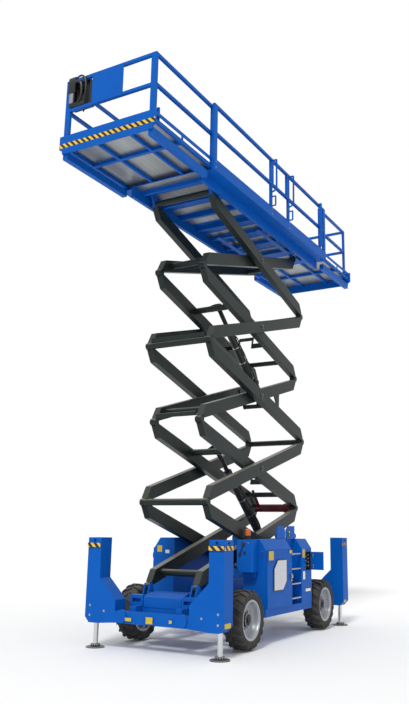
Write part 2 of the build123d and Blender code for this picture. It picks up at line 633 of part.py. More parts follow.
def inner_pair(level, way):
    """Inner arms of a level with their cross tubes and centre pins."""
    half = INNER_Y - ARM_WIDTH / 2 + 2
    z = level_centre(level)
    with BuildPart() as pair:
        high = "cheeks" if level < LEVELS else "eye"
        for side in (1, -1):
            arm(level, side * INNER_Y, way, "tongue", high, bore=False)
            face = side * (INNER_Y + ARM_WIDTH / 2 - 5)
            bar((CENTRE_X, face, z), (CENTRE_X, side * (OUTER_Y + ARM_WIDTH / 2), z), CENTRE_PIN_RADIUS)
        cross_tube(level, way, *INNER_TUBES[way][:2], half, INNER_TUBES[way][2])
        if way > 0:
            raised_bar(level, way, half)
            cross_bar(level, way, REAR_BAR, 84, (-half, half))
        elif level in CYLINDER_LEVELS:
            cross_tube(level, way, *BARREL_BEAM, half - GAP - 3, BARREL_BEAM_RADIUS)
            for side in (1, -1):
                beam_bracket(level, way, side)
            cylinder_ears(level, way, BARREL_PIN, BARREL_BEAM, pinned=True)
        else:
            cross_tube(level, way, *TOP_TUBE[:2], half, TOP_TUBE[2])
        if level == PROP_LEVEL + 2:
            end_beam(level, way, half)
        if level - 1 in CYLINDER_LEVELS:
            cylinder_ears(level, way, ROD_PIN, INNER_TUBES[way][:2], pinned=False)
    finish(pair, f"arms_{level}_inner")


def beam_bracket(level, way, side):
    """Web inside an inner arm, on a spacer, that carries the end of the barrel's cross tube."""
    u, v = BARREL_BEAM
    r = BARREL_BEAM_RADIUS
    web = ((u - 130, 60), (u - 130, -85), (u - r, v - r), (u + r, v - r), (u + 130, -85), (u + 130, 60))
    spacer = (web[0], web[1], web[4], web[5])
    face = INNER_Y - ARM_WIDTH / 2
    for outline, y in ((web, (face - GAP - 15, face - GAP)), (spacer, (face - GAP - 1, face + 2))):
        side_plate([tube_point(level, way, *point) for point in outline], both_sides(y, side))


def end_beam(level, way, half):
    """Box beam between two arms at their low ends."""
    (u0, u1), (v0, v1) = END_BEAM
    corners = ((u0, v0), (u1, v0), (u1, v1), (u0, v1))
    side_plate([tube_point(level, way, u, v) for u, v in corners], (-half, half))


def cross_bar(level, way, place, depth, y):
    """Flat bar across the arms, standing across their tubes."""
    x, z = tube_point(level, way, *place)
    a = radians(TUBE_ANGLE * way)
    with Locations(Plane(origin=(x, (y[0] + y[1]) / 2, z), x_dir=(cos(a), 0, sin(a)), z_dir=(0, -1, 0))):
        Box(BAR_THICK, depth, y[1] - y[0])


def raised_bar(level, way, half):
    """Flat bar between inner arms, stepped up in the middle over the lift cylinder."""
    riser = (STEP_LOW[0], STEP_HIGH[1])
    for y, v in (((-half, -STEP_HALF), STEP_LOW), ((STEP_HALF, half), STEP_LOW),
                 ((-STEP_HALF, STEP_HALF), STEP_HIGH), ((-STEP_HALF - 20, -STEP_HALF), riser),
                 ((STEP_HALF, STEP_HALF + 20), riser)):
        cross_bar(level, way, (STEP_U, (v[0] + v[1]) / 2), v[1] - v[0], y)


def cylinder_ears(level, way, pin, beam, pinned):
    """Two ears on a cross tube, for one end of a lift cylinder."""
    x, z = tube_point(level, way, *pin)
    bx, bz = tube_point(level, way, *beam)
    along = Vector(x - bx, 0, z - bz).normalized()
    rims = ((bx, bz, 60), (x, z, 48), (x + along.X * 40, z + along.Z * 40, 24))
    outline = [(px + along.Z * w, pz - along.X * w) for px, pz, w in rims]
    outline += [(px - along.Z * w, pz + along.X * w) for px, pz, w in reversed(rims)]
    face = EYE_WIDTH / 2 + GAP
    for hand in (1, -1):
        side_plate(outline, both_sides((face, face + EAR), hand))
    if pinned:
        bar((x, -face - 2, z), (x, face + 2, z), EYE_PIN_RADIUS)


def lift_cylinder(level, name):
    """Barrel on a level's inner arms and rod to the inner arms above."""
    low = tube_point(level, -1, *BARREL_PIN)
    high = tube_point(level + 1, 1, *ROD_PIN)
    start = Vector(low[0], 0, low[1])
    run = Vector(high[0], 0, high[1]) - start
    along = run.normalized()
    side = Vector(0, EYE_WIDTH / 2, 0)
    with BuildPart() as barrel:
        tube(start, start + along * BARREL_NECK, EYE_WIDTH / 2 - 4)
        tube(start + along * (BARREL_NECK - 20), start + along * BARREL_LENGTH, BARREL_RADIUS, sides=20)
        tube(start - side, start + side, EYE_RADIUS)
        tube(start + along * BORE_START, start + along * (BARREL_LENGTH + 1), ROD_RADIUS + ROD_GAP, Mode.SUBTRACT)
        bar(start - side * 2, start + side * 2, EYE_PIN_RADIUS + RUNNING_FIT, mode=Mode.SUBTRACT)
    finish(barrel, f"{name}_barrel")
    with BuildPart() as rod:
        tip = start + run
        tube(tip - along * ROD_LENGTH, tip - along * 20, ROD_RADIUS - 2)
        tube(tip - side, tip + side, EYE_RADIUS)
    finish(rod, f"{name}_rod")


def maintenance_prop():
    """Round tube on the first rear hinge line with its collar and a folded strut."""
    x, z = tube_point(PROP_LEVEL, -1, HALF_REACH, HALF_PITCH)
    half = INNER_Y - ARM_WIDTH / 2
    strut = (x + 300, -half + 50, z + 320)
    with BuildPart() as prop:
        tube((x, -half, z), (x, half, z), 72, sides=16)
        tube((x, half - 150, z), (x, half - 25, z), 86, sides=16)
        tube((x, -half + 50, z), strut, 25, sides=8)
    finish(prop, "maintenance_prop")


def outer_pair(level, way):
    """Outer arms of a level, joined by tubes at their ends' hinge lines."""
    half = OUTER_Y - ARM_WIDTH / 2 + 2
    low = "tongue" if level > 1 else "eye"
    with BuildPart() as pair:
        for side in (1, -1):
            arm(level, side * OUTER_Y, way, low, "cheeks", bore=True)
        cross_tube(level, way, HALF_REACH, HALF_PITCH, half, 18 if level == 4 else 50)
        if level == 4:
            end_beam(level, way, half)
    finish(pair, f"arms_{level}_outer")


# ---- platform ---------------------------------------------------------------
def rail_post(x, y, z0, z1):
    """Square upright."""
    half = RAIL_SIZE / 2
    block((x - half, x + half), (y - half, y + half), (z0, z1))


def rail_along(x, y, z):
    """Square rail along the platform."""
    half = RAIL_SIZE / 2
    block(x, (y - half, y + half), (z - half, z + half))


def platform_deck():
    """Sheet floor on cross members, with side channels and the scissor's upper tracks."""
    beam = (640, 690)
    sheet = DECK_Z - DECK_SHEET
    x = (DECK_REAR_X, DECK_FRONT_X)
    track_z = PLATFORM_PIVOT_Z + LUG_RADIUS + 1
    with BuildPart() as deck:
        block(x, (-FLOOR_HALF_WIDTH, FLOOR_HALF_WIDTH), (sheet, DECK_Z))
        for member in MEMBER_X:
            block((member - 30, member + 30), (-beam[0], beam[0]), (track_z + 10, sheet))
        for side in (1, -1):
            block(x, both_sides(beam, side), (7090, sheet))
            block(x, both_sides((beam[1], DECK_HALF_WIDTH), side), (DECK_UNDER_Z, DECK_UNDER_Z + 6))
            block(x, both_sides((DECK_HALF_WIDTH - 6, DECK_HALF_WIDTH), side), (DECK_UNDER_Z, TOE_TOP_Z))
            block((-2050, -50), both_sides((INNER_Y - 45, INNER_Y + 45), side), (track_z, track_z + 10))
            platform_pivot(side)
    finish(deck, "platform_deck")


def platform_pivot(side):
    """Tongue under the floor between the cheeks of an upper outer arm."""
    y = (side * OUTER_Y - TONGUE_WIDTH / 2, side * OUTER_Y + TONGUE_WIDTH / 2)
    x, z = FIXED_PIVOT_X, PLATFORM_PIVOT_Z
    top = DECK_Z - DECK_SHEET
    side_plate([(x - LUG_RADIUS, z), (x - 30, z - LUG_RADIUS), (x + 30, z - LUG_RADIUS), (x + LUG_RADIUS, z),
                (x + 125, top), (x - 125, top)], y)
    bar((x, y[0] - 5, z), (x, y[1] + 5, z), PIN_RADIUS + RUNNING_FIT, mode=Mode.SUBTRACT)


def control_station():
    """Box with a joystick behind the roll-out deck's front rail, and a blank panel before it."""
    x = FRONT_RAIL_X - RAIL_SIZE / 2 - 2
    top = RAIL_TOP_Z - 22
    with BuildPart() as box:
        side_plate([(x - 185, 8080), (x - 120, 7950), (x, 7950), (x, top), (x - 95, top), (x - 185, 8310)],
                   (-778, -420))
        block((x - 200, x + 5), (-640, -510), (8120, 8270), mode=Mode.SUBTRACT)
        prism(Plane((x - 130, -575, 8250)), 13, 6, 130)
    finish(box, "platform_control_box")
    face = FRONT_RAIL_X + RAIL_SIZE / 2
    with BuildPart() as panel:
        block((face, face + 4), (-330, 250), (RAIL_MID_Z - 20, RAIL_TOP_Z - 4))
    finish(panel, "front_panel")


def rod_path(points, radius):
    """Six-sided rod through some points."""
    for start, end in zip(points, points[1:]):
        run = Vector(*end) - Vector(*start)
        prism(Plane(origin=start, z_dir=run), radius, 6, run.length)


def grab_handle(x):
    """Long handle and a small loop under it, outside an entry post."""
    y = DECK_HALF_WIDTH - 12
    out = y + 100
    rod_path(((x, y, 8345), (x, out, 8345), (x, out, 7800), (x, out - 45, 7735), (x, y, 7720)), 15)
    rod_path(((x, y, 7630), (x, out - 20, 7630), (x, out - 20, 7450), (x, y, 7450)), 13)


def main_rails():
    """Side rails of the main deck, with the entry gap on the left."""
    y = DECK_HALF_WIDTH - RAIL_SIZE / 2 - 6
    half = RAIL_SIZE / 2
    top = RAIL_TOP_Z - half
    front = DECK_FRONT_X - 49
    rear = DECK_REAR_X + 49
    with BuildPart() as rails:
        for side in (1, -1):
            for x in (front, rear):
                block((x - RAIL_SIZE, x + RAIL_SIZE), (side * y - half, side * y + half), (DECK_UNDER_Z + 6, RAIL_TOP_Z))
            for x in (GATE_FRONT_X, GATE_REAR_X):
                rail_post(x, side * y, DECK_UNDER_Z + 6, RAIL_TOP_Z)
        for z in (top, RAIL_MID_Z):
            rail_along((rear, front), -y, z)
            rail_along((GATE_FRONT_X, front), y, z)
            rail_along((rear, GATE_REAR_X), y, z)
        grab_handle(GATE_FRONT_X)
        grab_handle(GATE_REAR_X)
        prism(Plane((-1970, y + half + 36, 7455)), 30, 10, 940)
        for z in (top, RAIL_MID_Z):
            block((-1985, -1955), (y, y + half + 20), (z - 15, z + 15))
    finish(rails, "main_rails")
    clear = half + GAP
    ends = (GATE_REAR_X + clear + 4, GATE_FRONT_X - clear)
    with BuildPart() as gate:
        for z in (top, RAIL_MID_Z):
            rail_along(ends, y, z)
        for x in (ends[0] + half, ends[1] - half):
            rail_post(x, y, RAIL_MID_Z, RAIL_TOP_Z)
        for z in (RAIL_MID_Z - 20, top - 60):
            bar((ends[1] - 4, y - half + 1, z), (ends[1] - 4, y - half + 1, z + 60), 7)
    finish(gate, "entry_gate")


def roll_out(end, name, tip, inner_x):
    """A roll-out deck: a sheet floor on a grid, side channels and its end fascia."""
    half = ROLL_OUT_HALF_WIDTH
    low = DECK_Z + GAP
    sheet = ROLL_OUT_FLOOR_Z - DECK_SHEET
    face = tip - end * 30
    with BuildPart() as deck:
        block((inner_x, face), (-half, half), (sheet, ROLL_OUT_FLOOR_Z))
        for y in (-300, 300):
            block((inner_x, face), (y - 20, y + 20), (low, sheet))
        for x in (inner_x + end * 30, tip - end * 745):
            block((x - 30, x + 30), (-half, half), (low, sheet))
        for side in (1, -1):
            block((inner_x, face), both_sides((half - 43, half), side), (low, low + 48))
            block((inner_x, face), both_sides((half - TOE_THICK, half), side), (FASCIA_TOP_Z - 57, FASCIA_TOP_Z))
            for x in (inner_x + end * 20, tip - end * 745):
                block((x - 20, x + 20), both_sides((half - TOE_THICK, half), side), (sheet, FASCIA_TOP_Z))
            block((tip - end * 1515, face), both_sides((735, 820), side), (7085, 7200))
        fascia(tip, face)
        if end > 0:
            prism(Plane((tip - 165, 800, sheet)), 22, 8, 230)
    finish(deck, f"{name}_deck")


def fascia(tip, face):
    """End plate of a roll-out deck, narrower along its lower edge."""
    wide = FASCIA_HALF_WIDTH
    outline = [
        (-820, FASCIA_BOTTOM_Z), (820, FASCIA_BOTTOM_Z), (820, 7215), (wide, 7245), (wide, FASCIA_TOP_Z),
        (-wide, FASCIA_TOP_Z), (-wide, 7245), (-820, 7215),
    ]
    end_plate(outline, (face, tip))


def roll_out_rails(end, name, rail_tip, inner_x):
    """Rails round three sides of a roll-out deck, with wide corner posts."""
    half = RAIL_SIZE / 2
    y = ROLL_OUT_HALF_WIDTH - TOE_THICK - half
    corner = 90 if end > 0 else RAIL_SIZE
    with BuildPart() as rails:
        for side in (1, -1):
            block((rail_tip - half, rail_tip + half), both_sides((y + half - corner, y + half), side),
                  (ROLL_OUT_FLOOR_Z, RAIL_TOP_Z))
            rail_post(inner_x + end * 60, side * y, ROLL_OUT_FLOOR_Z, RAIL_TOP_Z)
            for z in (RAIL_TOP_Z - half, RAIL_MID_Z):
                rail_along((rail_tip, inner_x + end * 60), side * y, z)
        for z in (RAIL_TOP_Z - half, RAIL_MID_Z):
            block((rail_tip - half, rail_tip + half), (-y, y), (z - half, z + half))
    finish(rails, f"{name}_rails")


chassis_frame()
roller_tracks()
axles()
knuckle(1, "knuckle_left")
knuckle(-1, "knuckle_right")
wheels()
outrigger_frame(1, "front")
outrigger_frame(-1, "rear")
left_cabinet()
right_cabinet()
ladder()
cabinet_fittings()
scissor_pairs()
for cylinder_level, cylinder_name in zip(CYLINDER_LEVELS, ("lower", "upper")):
    lift_cylinder(cylinder_level, cylinder_name)
maintenance_prop()
platform_deck()
main_rails()
control_station()
roll_out(1, "front", ROLL_OUT_FRONT_X, ROLL_OUT_FRONT_INNER_X)
roll_out_rails(1, "front", FRONT_RAIL_X, ROLL_OUT_FRONT_INNER_X)
roll_out(-1, "rear", ROLL_OUT_REAR_X, ROLL_OUT_REAR_INNER_X)
roll_out_rails(-1, "rear", ROLL_OUT_REAR_X + 235, ROLL_OUT_REAR_INNER_X)
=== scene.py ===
"""Looks of a rough-terrain scissor lift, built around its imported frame."""
import json
from math import cos, pi, radians, sin

import bmesh
import bpy
from bpy.props import (FloatProperty, FloatVectorProperty, IntProperty, PointerProperty,
                       StringProperty)
from mathutils import Matrix, Vector


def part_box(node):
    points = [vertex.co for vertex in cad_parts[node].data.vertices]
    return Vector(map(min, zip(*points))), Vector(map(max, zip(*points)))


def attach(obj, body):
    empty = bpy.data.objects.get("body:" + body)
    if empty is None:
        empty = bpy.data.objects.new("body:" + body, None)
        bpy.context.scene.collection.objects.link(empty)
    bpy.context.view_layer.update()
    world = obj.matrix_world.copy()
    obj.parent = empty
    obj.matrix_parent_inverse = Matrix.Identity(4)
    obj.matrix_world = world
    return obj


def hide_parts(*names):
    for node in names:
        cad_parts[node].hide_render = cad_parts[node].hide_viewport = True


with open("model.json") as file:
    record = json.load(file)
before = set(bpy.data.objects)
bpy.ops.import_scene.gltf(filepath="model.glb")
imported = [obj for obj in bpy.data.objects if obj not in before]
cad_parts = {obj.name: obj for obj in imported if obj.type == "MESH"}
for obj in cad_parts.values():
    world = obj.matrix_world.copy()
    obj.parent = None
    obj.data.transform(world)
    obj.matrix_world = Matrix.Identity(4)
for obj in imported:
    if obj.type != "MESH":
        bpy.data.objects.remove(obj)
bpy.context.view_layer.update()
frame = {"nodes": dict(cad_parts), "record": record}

bl_info = {
    "name": "Scissor lift looks",
    "version": (1, 0, 0),
    "blender": (4, 5, 0),
    "location": "View3D > Sidebar > Lift",
    "description": "Finishes, fittings and stage of a scissor lift around its fixed frame",
    "category": "Object",
}


# ---- sizes and colours a user would change ---------------
class LiftFinishSettings(bpy.types.PropertyGroup):
    """Colours, as sRGB hex values."""

    machine_blue: StringProperty(
        name="Machine blue", description="Enamel of the chassis and platform", default="#045CB8")
    arm_grey: StringProperty(
        name="Arm grey", description="Enamel of the arms", default="#1B2725")
    signal_yellow: StringProperty(
        name="Signal yellow", description="Light stripes of the hazard tape", default="#DDB63C")


class LiftWheelSettings(bpy.types.PropertyGroup):
    """Sizes of the tyres and rims."""

    tyre_radius: FloatProperty(
        name="Tyre radius", description="Over the tread bars", default=0.42, unit="LENGTH")
    bar_count: IntProperty(
        name="Tread bars", description="Bars on each half of the tread",
        default=19, min=8, max=40)
    bar_width: FloatProperty(
        name="Bar width", description="Along the tread", default=0.058, unit="LENGTH")
    nut_count: IntProperty(
        name="Wheel nuts", description="Nuts around each hub", default=9, min=3, max=16)
    nut_circle: FloatProperty(
        name="Nut circle", description="Radius that the nuts stand on",
        default=0.128, unit="LENGTH")


class LiftMarkSettings(bpy.types.PropertyGroup):
    """Sizes of the striped bands."""

    fascia_pitch: FloatProperty(
        name="Fascia pitch", description="One light and one dark stripe on the deck's nose",
        default=0.0972, unit="LENGTH")
    post_pitch: FloatProperty(
        name="Post pitch", description="One light and one dark stripe on the posts",
        default=0.12, unit="LENGTH")
    film: FloatProperty(
        name="Film thickness", description="How far bands and plates stand off the paint",
        default=0.0012, unit="LENGTH")


class LiftStageSettings(bpy.types.PropertyGroup):
    """Lens and place of the camera."""

    focal_length: FloatProperty(
        name="Focal length", description="Lens of the camera, in mm", default=38.13, min=1.0)
    eye: FloatVectorProperty(
        name="Eye", description="Camera's place",
        default=(11.638, 6.38, 1.773), subtype="TRANSLATION")
    heading: FloatProperty(
        name="Heading", description="Turn of the view from +Y",
        default=radians(119.106), subtype="ANGLE")
    pitch: FloatProperty(
        name="Pitch", description="Rise of the view", default=radians(13.156), subtype="ANGLE")
    roll: FloatProperty(
        name="Roll", description="Lean of the camera", default=radians(0.713), subtype="ANGLE")


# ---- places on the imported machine, in metres -------------
ALONG, ACROSS, UP = (1, 0, 0), (0, 1, 0), (0, 0, 1)
POST_END, POST_SIDE = 2.4, 1.19  # outer faces of the posts
CABINET_FRONT, CABINET_SIDE = 0.83, 1.05  # outer faces of the left cabinet
RUNG_HEIGHTS = (0.62, 0.85, 1.09, 1.33)
LEVELS, LEVEL_RISE = range(1, 6), 1.253  # arm levels and the height of one
FRONT_PIVOT = (1.876, 0.872)  # lowest front arm pivot, x and z
REAR_PIVOT_X = -1.655  # lowest rear arm pivot, x
ARM_FACE = 0.615  # outer face of the outer arms
BARREL_FOOT = {"lower": (-1.0395, 0.0, 1.6255), "upper": (-1.0395, 0.0, 4.1315)}
BARREL_WAY = (0.7606, 0.0, 0.6492)  # from the foot pin to the rod
BARREL_SKIN = 0.0695  # radius just inside the barrel's skin
RAIL_BOLT_PLACES, RAIL_FACE = (2.337, 0.291, -0.457, -2.259), 0.903
DECK_BAYS = (2.25, 1.84, 1.16, 0.69, -0.06, -0.64, -1.3, -1.86)
FILM_GAP = 0.0003  # air under a film, so that no faces share a plane

AXLE_REPEAT, LINE_REPEAT = "repeat around an axle", "repeat along a line"
DUST = "#B9B4A6"
TAPE_BLACK = "#101112"


# ---- small tools -----------------------------------------
def linear(hex_colour):
    """Turns an sRGB hex value into linear red, green, blue and alpha."""
    channels = [int(hex_colour[i:i + 2], 16) / 255 for i in (1, 3, 5)]
    return tuple(c / 12.92 if c <= 0.04045 else ((c + 0.055) / 1.055) ** 2.4
                 for c in channels) + (1.0,)


def add_node(tree, kind, settings=None, links=None):
    """Adds a node. Settings go by attribute or input, links by input name or number."""
    made = tree.nodes.new(kind)
    for key, value in (settings or {}).items():
        if hasattr(made, str(key)):
            setattr(made, key, value)
        else:
            made.inputs[key].default_value = value
    for key, socket in (links or {}).items():
        tree.links.new(socket, made.inputs[key])
    return made


def added(name, data):
    """A new object in the scene."""
    made = bpy.data.objects.new(name, data)
    bpy.context.scene.collection.objects.link(made)
    return made


def evaluated(holder):
    """The plain mesh that an object's curve or modifiers give."""
    graph = bpy.context.evaluated_depsgraph_get()
    return bpy.data.meshes.new_from_object(holder.evaluated_get(graph))


# ---- materials -------------------------------------------
def new_material(name, settings):
    """A node material of one Principled shader with its settings, and its output."""
    material = bpy.data.materials.new(name)
    material.use_nodes = True
    tree = material.node_tree
    tree.nodes.clear()
    shader = add_node(tree, "ShaderNodeBsdfPrincipled", settings)
    add_node(tree, "ShaderNodeOutputMaterial", links={"Surface": shader.outputs[0]})
    return material, tree, shader


def mixed(tree, factor, *colours):
    """A blend of two colours, each a hex value or a socket, by a factor."""
    mix = add_node(tree, "ShaderNodeMix", {"data_type": "RGBA"}, {"Factor": factor})
    # inputs 6 and 7 and output 2 are the colours, after those for numbers and vectors
    for number, colour in zip((6, 7), colours):
        if isinstance(colour, str):
            mix.inputs[number].default_value = linear(colour)
        else:
            tree.links.new(colour, mix.inputs[number])
    return mix.outputs[2]


def relief(tree, shader, grain, roughness, height, strength):
    """Spreads a shader's roughness over a grain, and gives it a low bump."""
    low, high = roughness
    gloss = add_node(
        tree, "ShaderNodeMapRange", {"To Min": low, "To Max": high}, {"Value": grain})
    tree.links.new(gloss.outputs["Result"], shader.inputs["Roughness"])
    bump = add_node(
        tree, "ShaderNodeBump", {"Strength": strength, "Distance": 0.002}, {"Height": height})
    tree.links.new(bump.outputs["Normal"], shader.inputs["Normal"])


def painted(name, colour, shade, roughness, dust=0.0, peel=0.02, coat=0.0, metallic=0.0,
            patch=2.5, shine=0.5):
    """Enamel: two close tones in soft patches, dust on what faces up, a faint orange peel."""
    material, tree, shader = new_material(
        name, {"Metallic": metallic, "Coat Weight": coat, "Specular IOR Level": shine})
    place = add_node(tree, "ShaderNodeTexCoord")
    clouds = add_node(
        tree, "ShaderNodeTexNoise", {"Scale": patch, "Detail": 4.0, "Roughness": 0.6},
        {"Vector": place.outputs["Object"]})
    tone = mixed(tree, clouds.outputs["Fac"], colour, shade)
    if dust > 0.0:
        up = add_node(tree, "ShaderNodeSeparateXYZ", links={"Vector": place.outputs["Normal"]})
        facing = add_node(
            tree, "ShaderNodeMapRange",
            {"From Min": 0.35, "From Max": 1.0, "To Min": 0.0, "To Max": dust},
            {"Value": up.outputs["Z"]})
        tone = mixed(tree, facing.outputs["Result"], tone, DUST)
    tree.links.new(tone, shader.inputs["Base Color"])
    fine = add_node(
        tree, "ShaderNodeTexNoise", {"Scale": 60.0, "Detail": 2.0},
        {"Vector": place.outputs["Object"]})
    grain = fine.outputs["Fac"]
    relief(tree, shader, grain, (roughness - 0.06, roughness + 0.08), grain, peel)
    return material


def striped(name, first, second, pitch, slant):
    """Slanted bands of two colours, as on adhesive hazard tape."""
    material, tree, shader = new_material(name, {"Roughness": 0.45})
    place = add_node(tree, "ShaderNodeTexCoord")
    along = add_node(
        tree, "ShaderNodeVectorMath",
        {"operation": "DOT_PRODUCT", 1: tuple(s / pitch for s in slant)},
        {0: place.outputs["Object"]})
    part = add_node(tree, "ShaderNodeMath", {"operation": "FRACT"}, {0: along.outputs["Value"]})
    step = add_node(
        tree, "ShaderNodeMath", {"operation": "GREATER_THAN", 1: 0.5}, {0: part.outputs[0]})
    tree.links.new(mixed(tree, step.outputs[0], first, second), shader.inputs["Base Color"])
    return material


def sheet_metal(name, colour, shade, roughness, bars):
    """Rolled metal sheet: long faint streaks, and raised bars where bars is more than nothing."""
    material, tree, shader = new_material(name, {"Metallic": 0.85})
    place = add_node(tree, "ShaderNodeTexCoord")
    drawn = add_node(
        tree, "ShaderNodeMapping", {"Scale": (0.6, 9.0, 9.0)}, {"Vector": place.outputs["Object"]})
    streaks = add_node(
        tree, "ShaderNodeTexNoise", {"Scale": 1.6, "Detail": 5.0},
        {"Vector": drawn.outputs["Vector"]})
    grain = height = streaks.outputs["Fac"]
    strength = 0.05
    tree.links.new(mixed(tree, grain, colour, shade), shader.inputs["Base Color"])
    if bars > 0.0:
        turned = add_node(
            tree, "ShaderNodeMapping",
            {"Rotation": (0.0, 0.0, radians(45.0)), "Scale": (1.0, 3.0, 1.0)},
            {"Vector": place.outputs["Object"]})
        cells = add_node(tree, "ShaderNodeTexVoronoi", {"Scale": 1.0 / bars, "Randomness": 0.0},
                         {"Vector": turned.outputs["Vector"]})
        raised = add_node(
            tree, "ShaderNodeMapRange",
            {"From Min": 0.18, "From Max": 0.3, "To Min": 1.0, "To Max": 0.0},
            {"Value": cells.outputs["Distance"]})
        height, strength = raised.outputs["Result"], 0.5
    relief(tree, shader, grain, (roughness - 0.08, roughness + 0.1), height, strength)
    return material


# ---- finishes --------------------------------------------
FINISHES = {}


def make_finishes():
    """Every finish of the machine, by the record's slot or by its own name."""
    colours, sizes = bpy.context.scene.lift_finish, bpy.context.scene.lift_marks
    yellow, fascia, post = colours.signal_yellow, sizes.fascia_pitch, sizes.post_pitch
    FINISHES.update({
        # two-pack enamel, sprayed: even, slightly orange-peeled
        "blue_paint": painted(
            "blue machine enamel", colours.machine_blue, "#0450A6", 0.42, dust=0.05, shine=0.1),
        # same enamel in dark grey-green, satin, with pale dust on the upper faces
        "arm_paint": painted(
            "grey-green arm enamel", colours.arm_grey, "#131D1C", 0.34, dust=0.36, shine=0.28),
        # dark red enamel of the service prop
        "maroon_paint": painted("maroon prop enamel", "#5C111C", "#470C15", 0.35, shine=0.35),
        # black chassis paint, satin
        "black_paint": painted("black chassis paint", "#1B1D1F", "#131416", 0.45, dust=0.2),
        # moulded acrylic lens
        "amber_lens": painted("amber acrylic lens", "#DE6A10", "#C85A08", 0.15, coat=0.5),
        # bare zinc-plated steel
        "zinc_plate": painted("zinc-plated steel", "#C4C5C2", "#A9ABAA", 0.35, metallic=1.0),
        # moulded ABS, matt
        "grey_plastic": painted("grey moulded ABS", "#8E9296", "#7E8286", 0.5),
        # sand-cast iron, painted black at the works
        "engine_iron": painted("cast iron", "#33363A", "#26282B", 0.6, peel=0.2),
        # nitrided rod steel: near black with an oily sheen
        "nitrided_rod": painted(
            "nitrided rod steel", "#3C3B3D", "#2C2B2E", 0.25, metallic=1.0, peel=0.0),
        # hard chromium plate, ground and polished
        "chrome_rod": painted(
            "hard chrome plate", "#D8DADB", "#C9CBCD", 0.16, metallic=1.0, peel=0.0),
        # carbon-black tyre rubber with dried dust
        "tyre_rubber": painted(
            "tyre rubber", "#2E2D2C", "#454341", 0.8, dust=0.14, peel=0.5, patch=11.0, shine=0.25),
        # silver wheel enamel
        "rim_paint": painted(
            "silver wheel enamel", "#B4B8BE", "#9CA1A8", 0.35, dust=0.15, metallic=0.4),
        # moulded ABS, black
        "black_plastic": painted("black moulded ABS", "#191A1C", "#101113", 0.45),
        # extruded hose rubber, matt
        "hose_rubber": painted("hose rubber", "#17181A", "#101011", 0.6, peel=0.1, patch=20.0),
        # cast vinyl film, flat colour with a soft gloss
        "yellow_film": painted(
            "yellow vinyl film", "#CDB23A", "#C2A52F", 0.42, peel=0.0, shine=0.3),
        "white_film": painted("white vinyl film", "#E6E8EA", "#D5D8DB", 0.4, peel=0.0),
        "grey_film": painted("light grey vinyl film", "#CDD0D4", "#BFC3C8", 0.38, peel=0.0),
        # the black film is also painted shade: in the louvre slots, in the lug's slot and lining
        # the control recess
        "black_film_and_painted_shade": painted("black vinyl film", "#151617", "#1D1E20", 0.4, peel=0.0),
        # hazard tape: printed vinyl in two colours
        "fascia_tape": striped("fascia hazard tape", yellow, TAPE_BLACK, fascia, (0, 1, 1)),
        "end_tape": striped("post hazard tape across", yellow, TAPE_BLACK, post, (0, 1, 1)),
        "side_tape": striped("post hazard tape along", yellow, TAPE_BLACK, post, (-1, 0, 1)),
        "amber_tape": striped("amber hazard tape", "#B9781E", "#2A2317", post, (-1, 0, 1)),
        # mill-finish aluminium sheet, seen from below
        "deck_sheet": sheet_metal("mill-finish aluminium sheet", "#A7ABAC", "#8A8F92", 0.42, 0.0),
        # the same sheet with raised bars under the feet, 40 mm apart
        "tread_sheet": sheet_metal("aluminium tread sheet", "#A2A6A8", "#8C9093", 0.45, 0.04),
    })


def finish_nodes():
    """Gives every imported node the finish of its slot; the lift's own rods are dark."""
    slots = {row["node"]: row["material_slot"] for row in frame["record"]["subparts"]}
    for name, piece in frame["nodes"].items():
        piece.data.materials.clear()
        lift_rod = name in ("lower_rod", "upper_rod")
        piece.data.materials.append(FINISHES["nitrided_rod" if lift_rod else slots[name]])


# ---- mesh tools ------------------------------------------
def broken(made, lines, edge):
    """Breaks sharp edges by a small width, where one is given."""
    if edge > 0.0:
        bmesh.ops.bevel(made, geom=lines, offset=edge, segments=2, profile=0.5, affect="EDGES")


def walls(made, one, two):
    """Faces between two rings of equally many points, where a ring may be a single point."""
    for i in range(len(one)):
        after = (i + 1) % len(one)
        made.faces.new(list(dict.fromkeys([one[i], one[after], two[after], two[i]])))


def fix(made, body, slot, *replaced):
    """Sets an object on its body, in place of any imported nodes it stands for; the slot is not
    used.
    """
    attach(made, body)
    if replaced:
        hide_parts(*replaced)


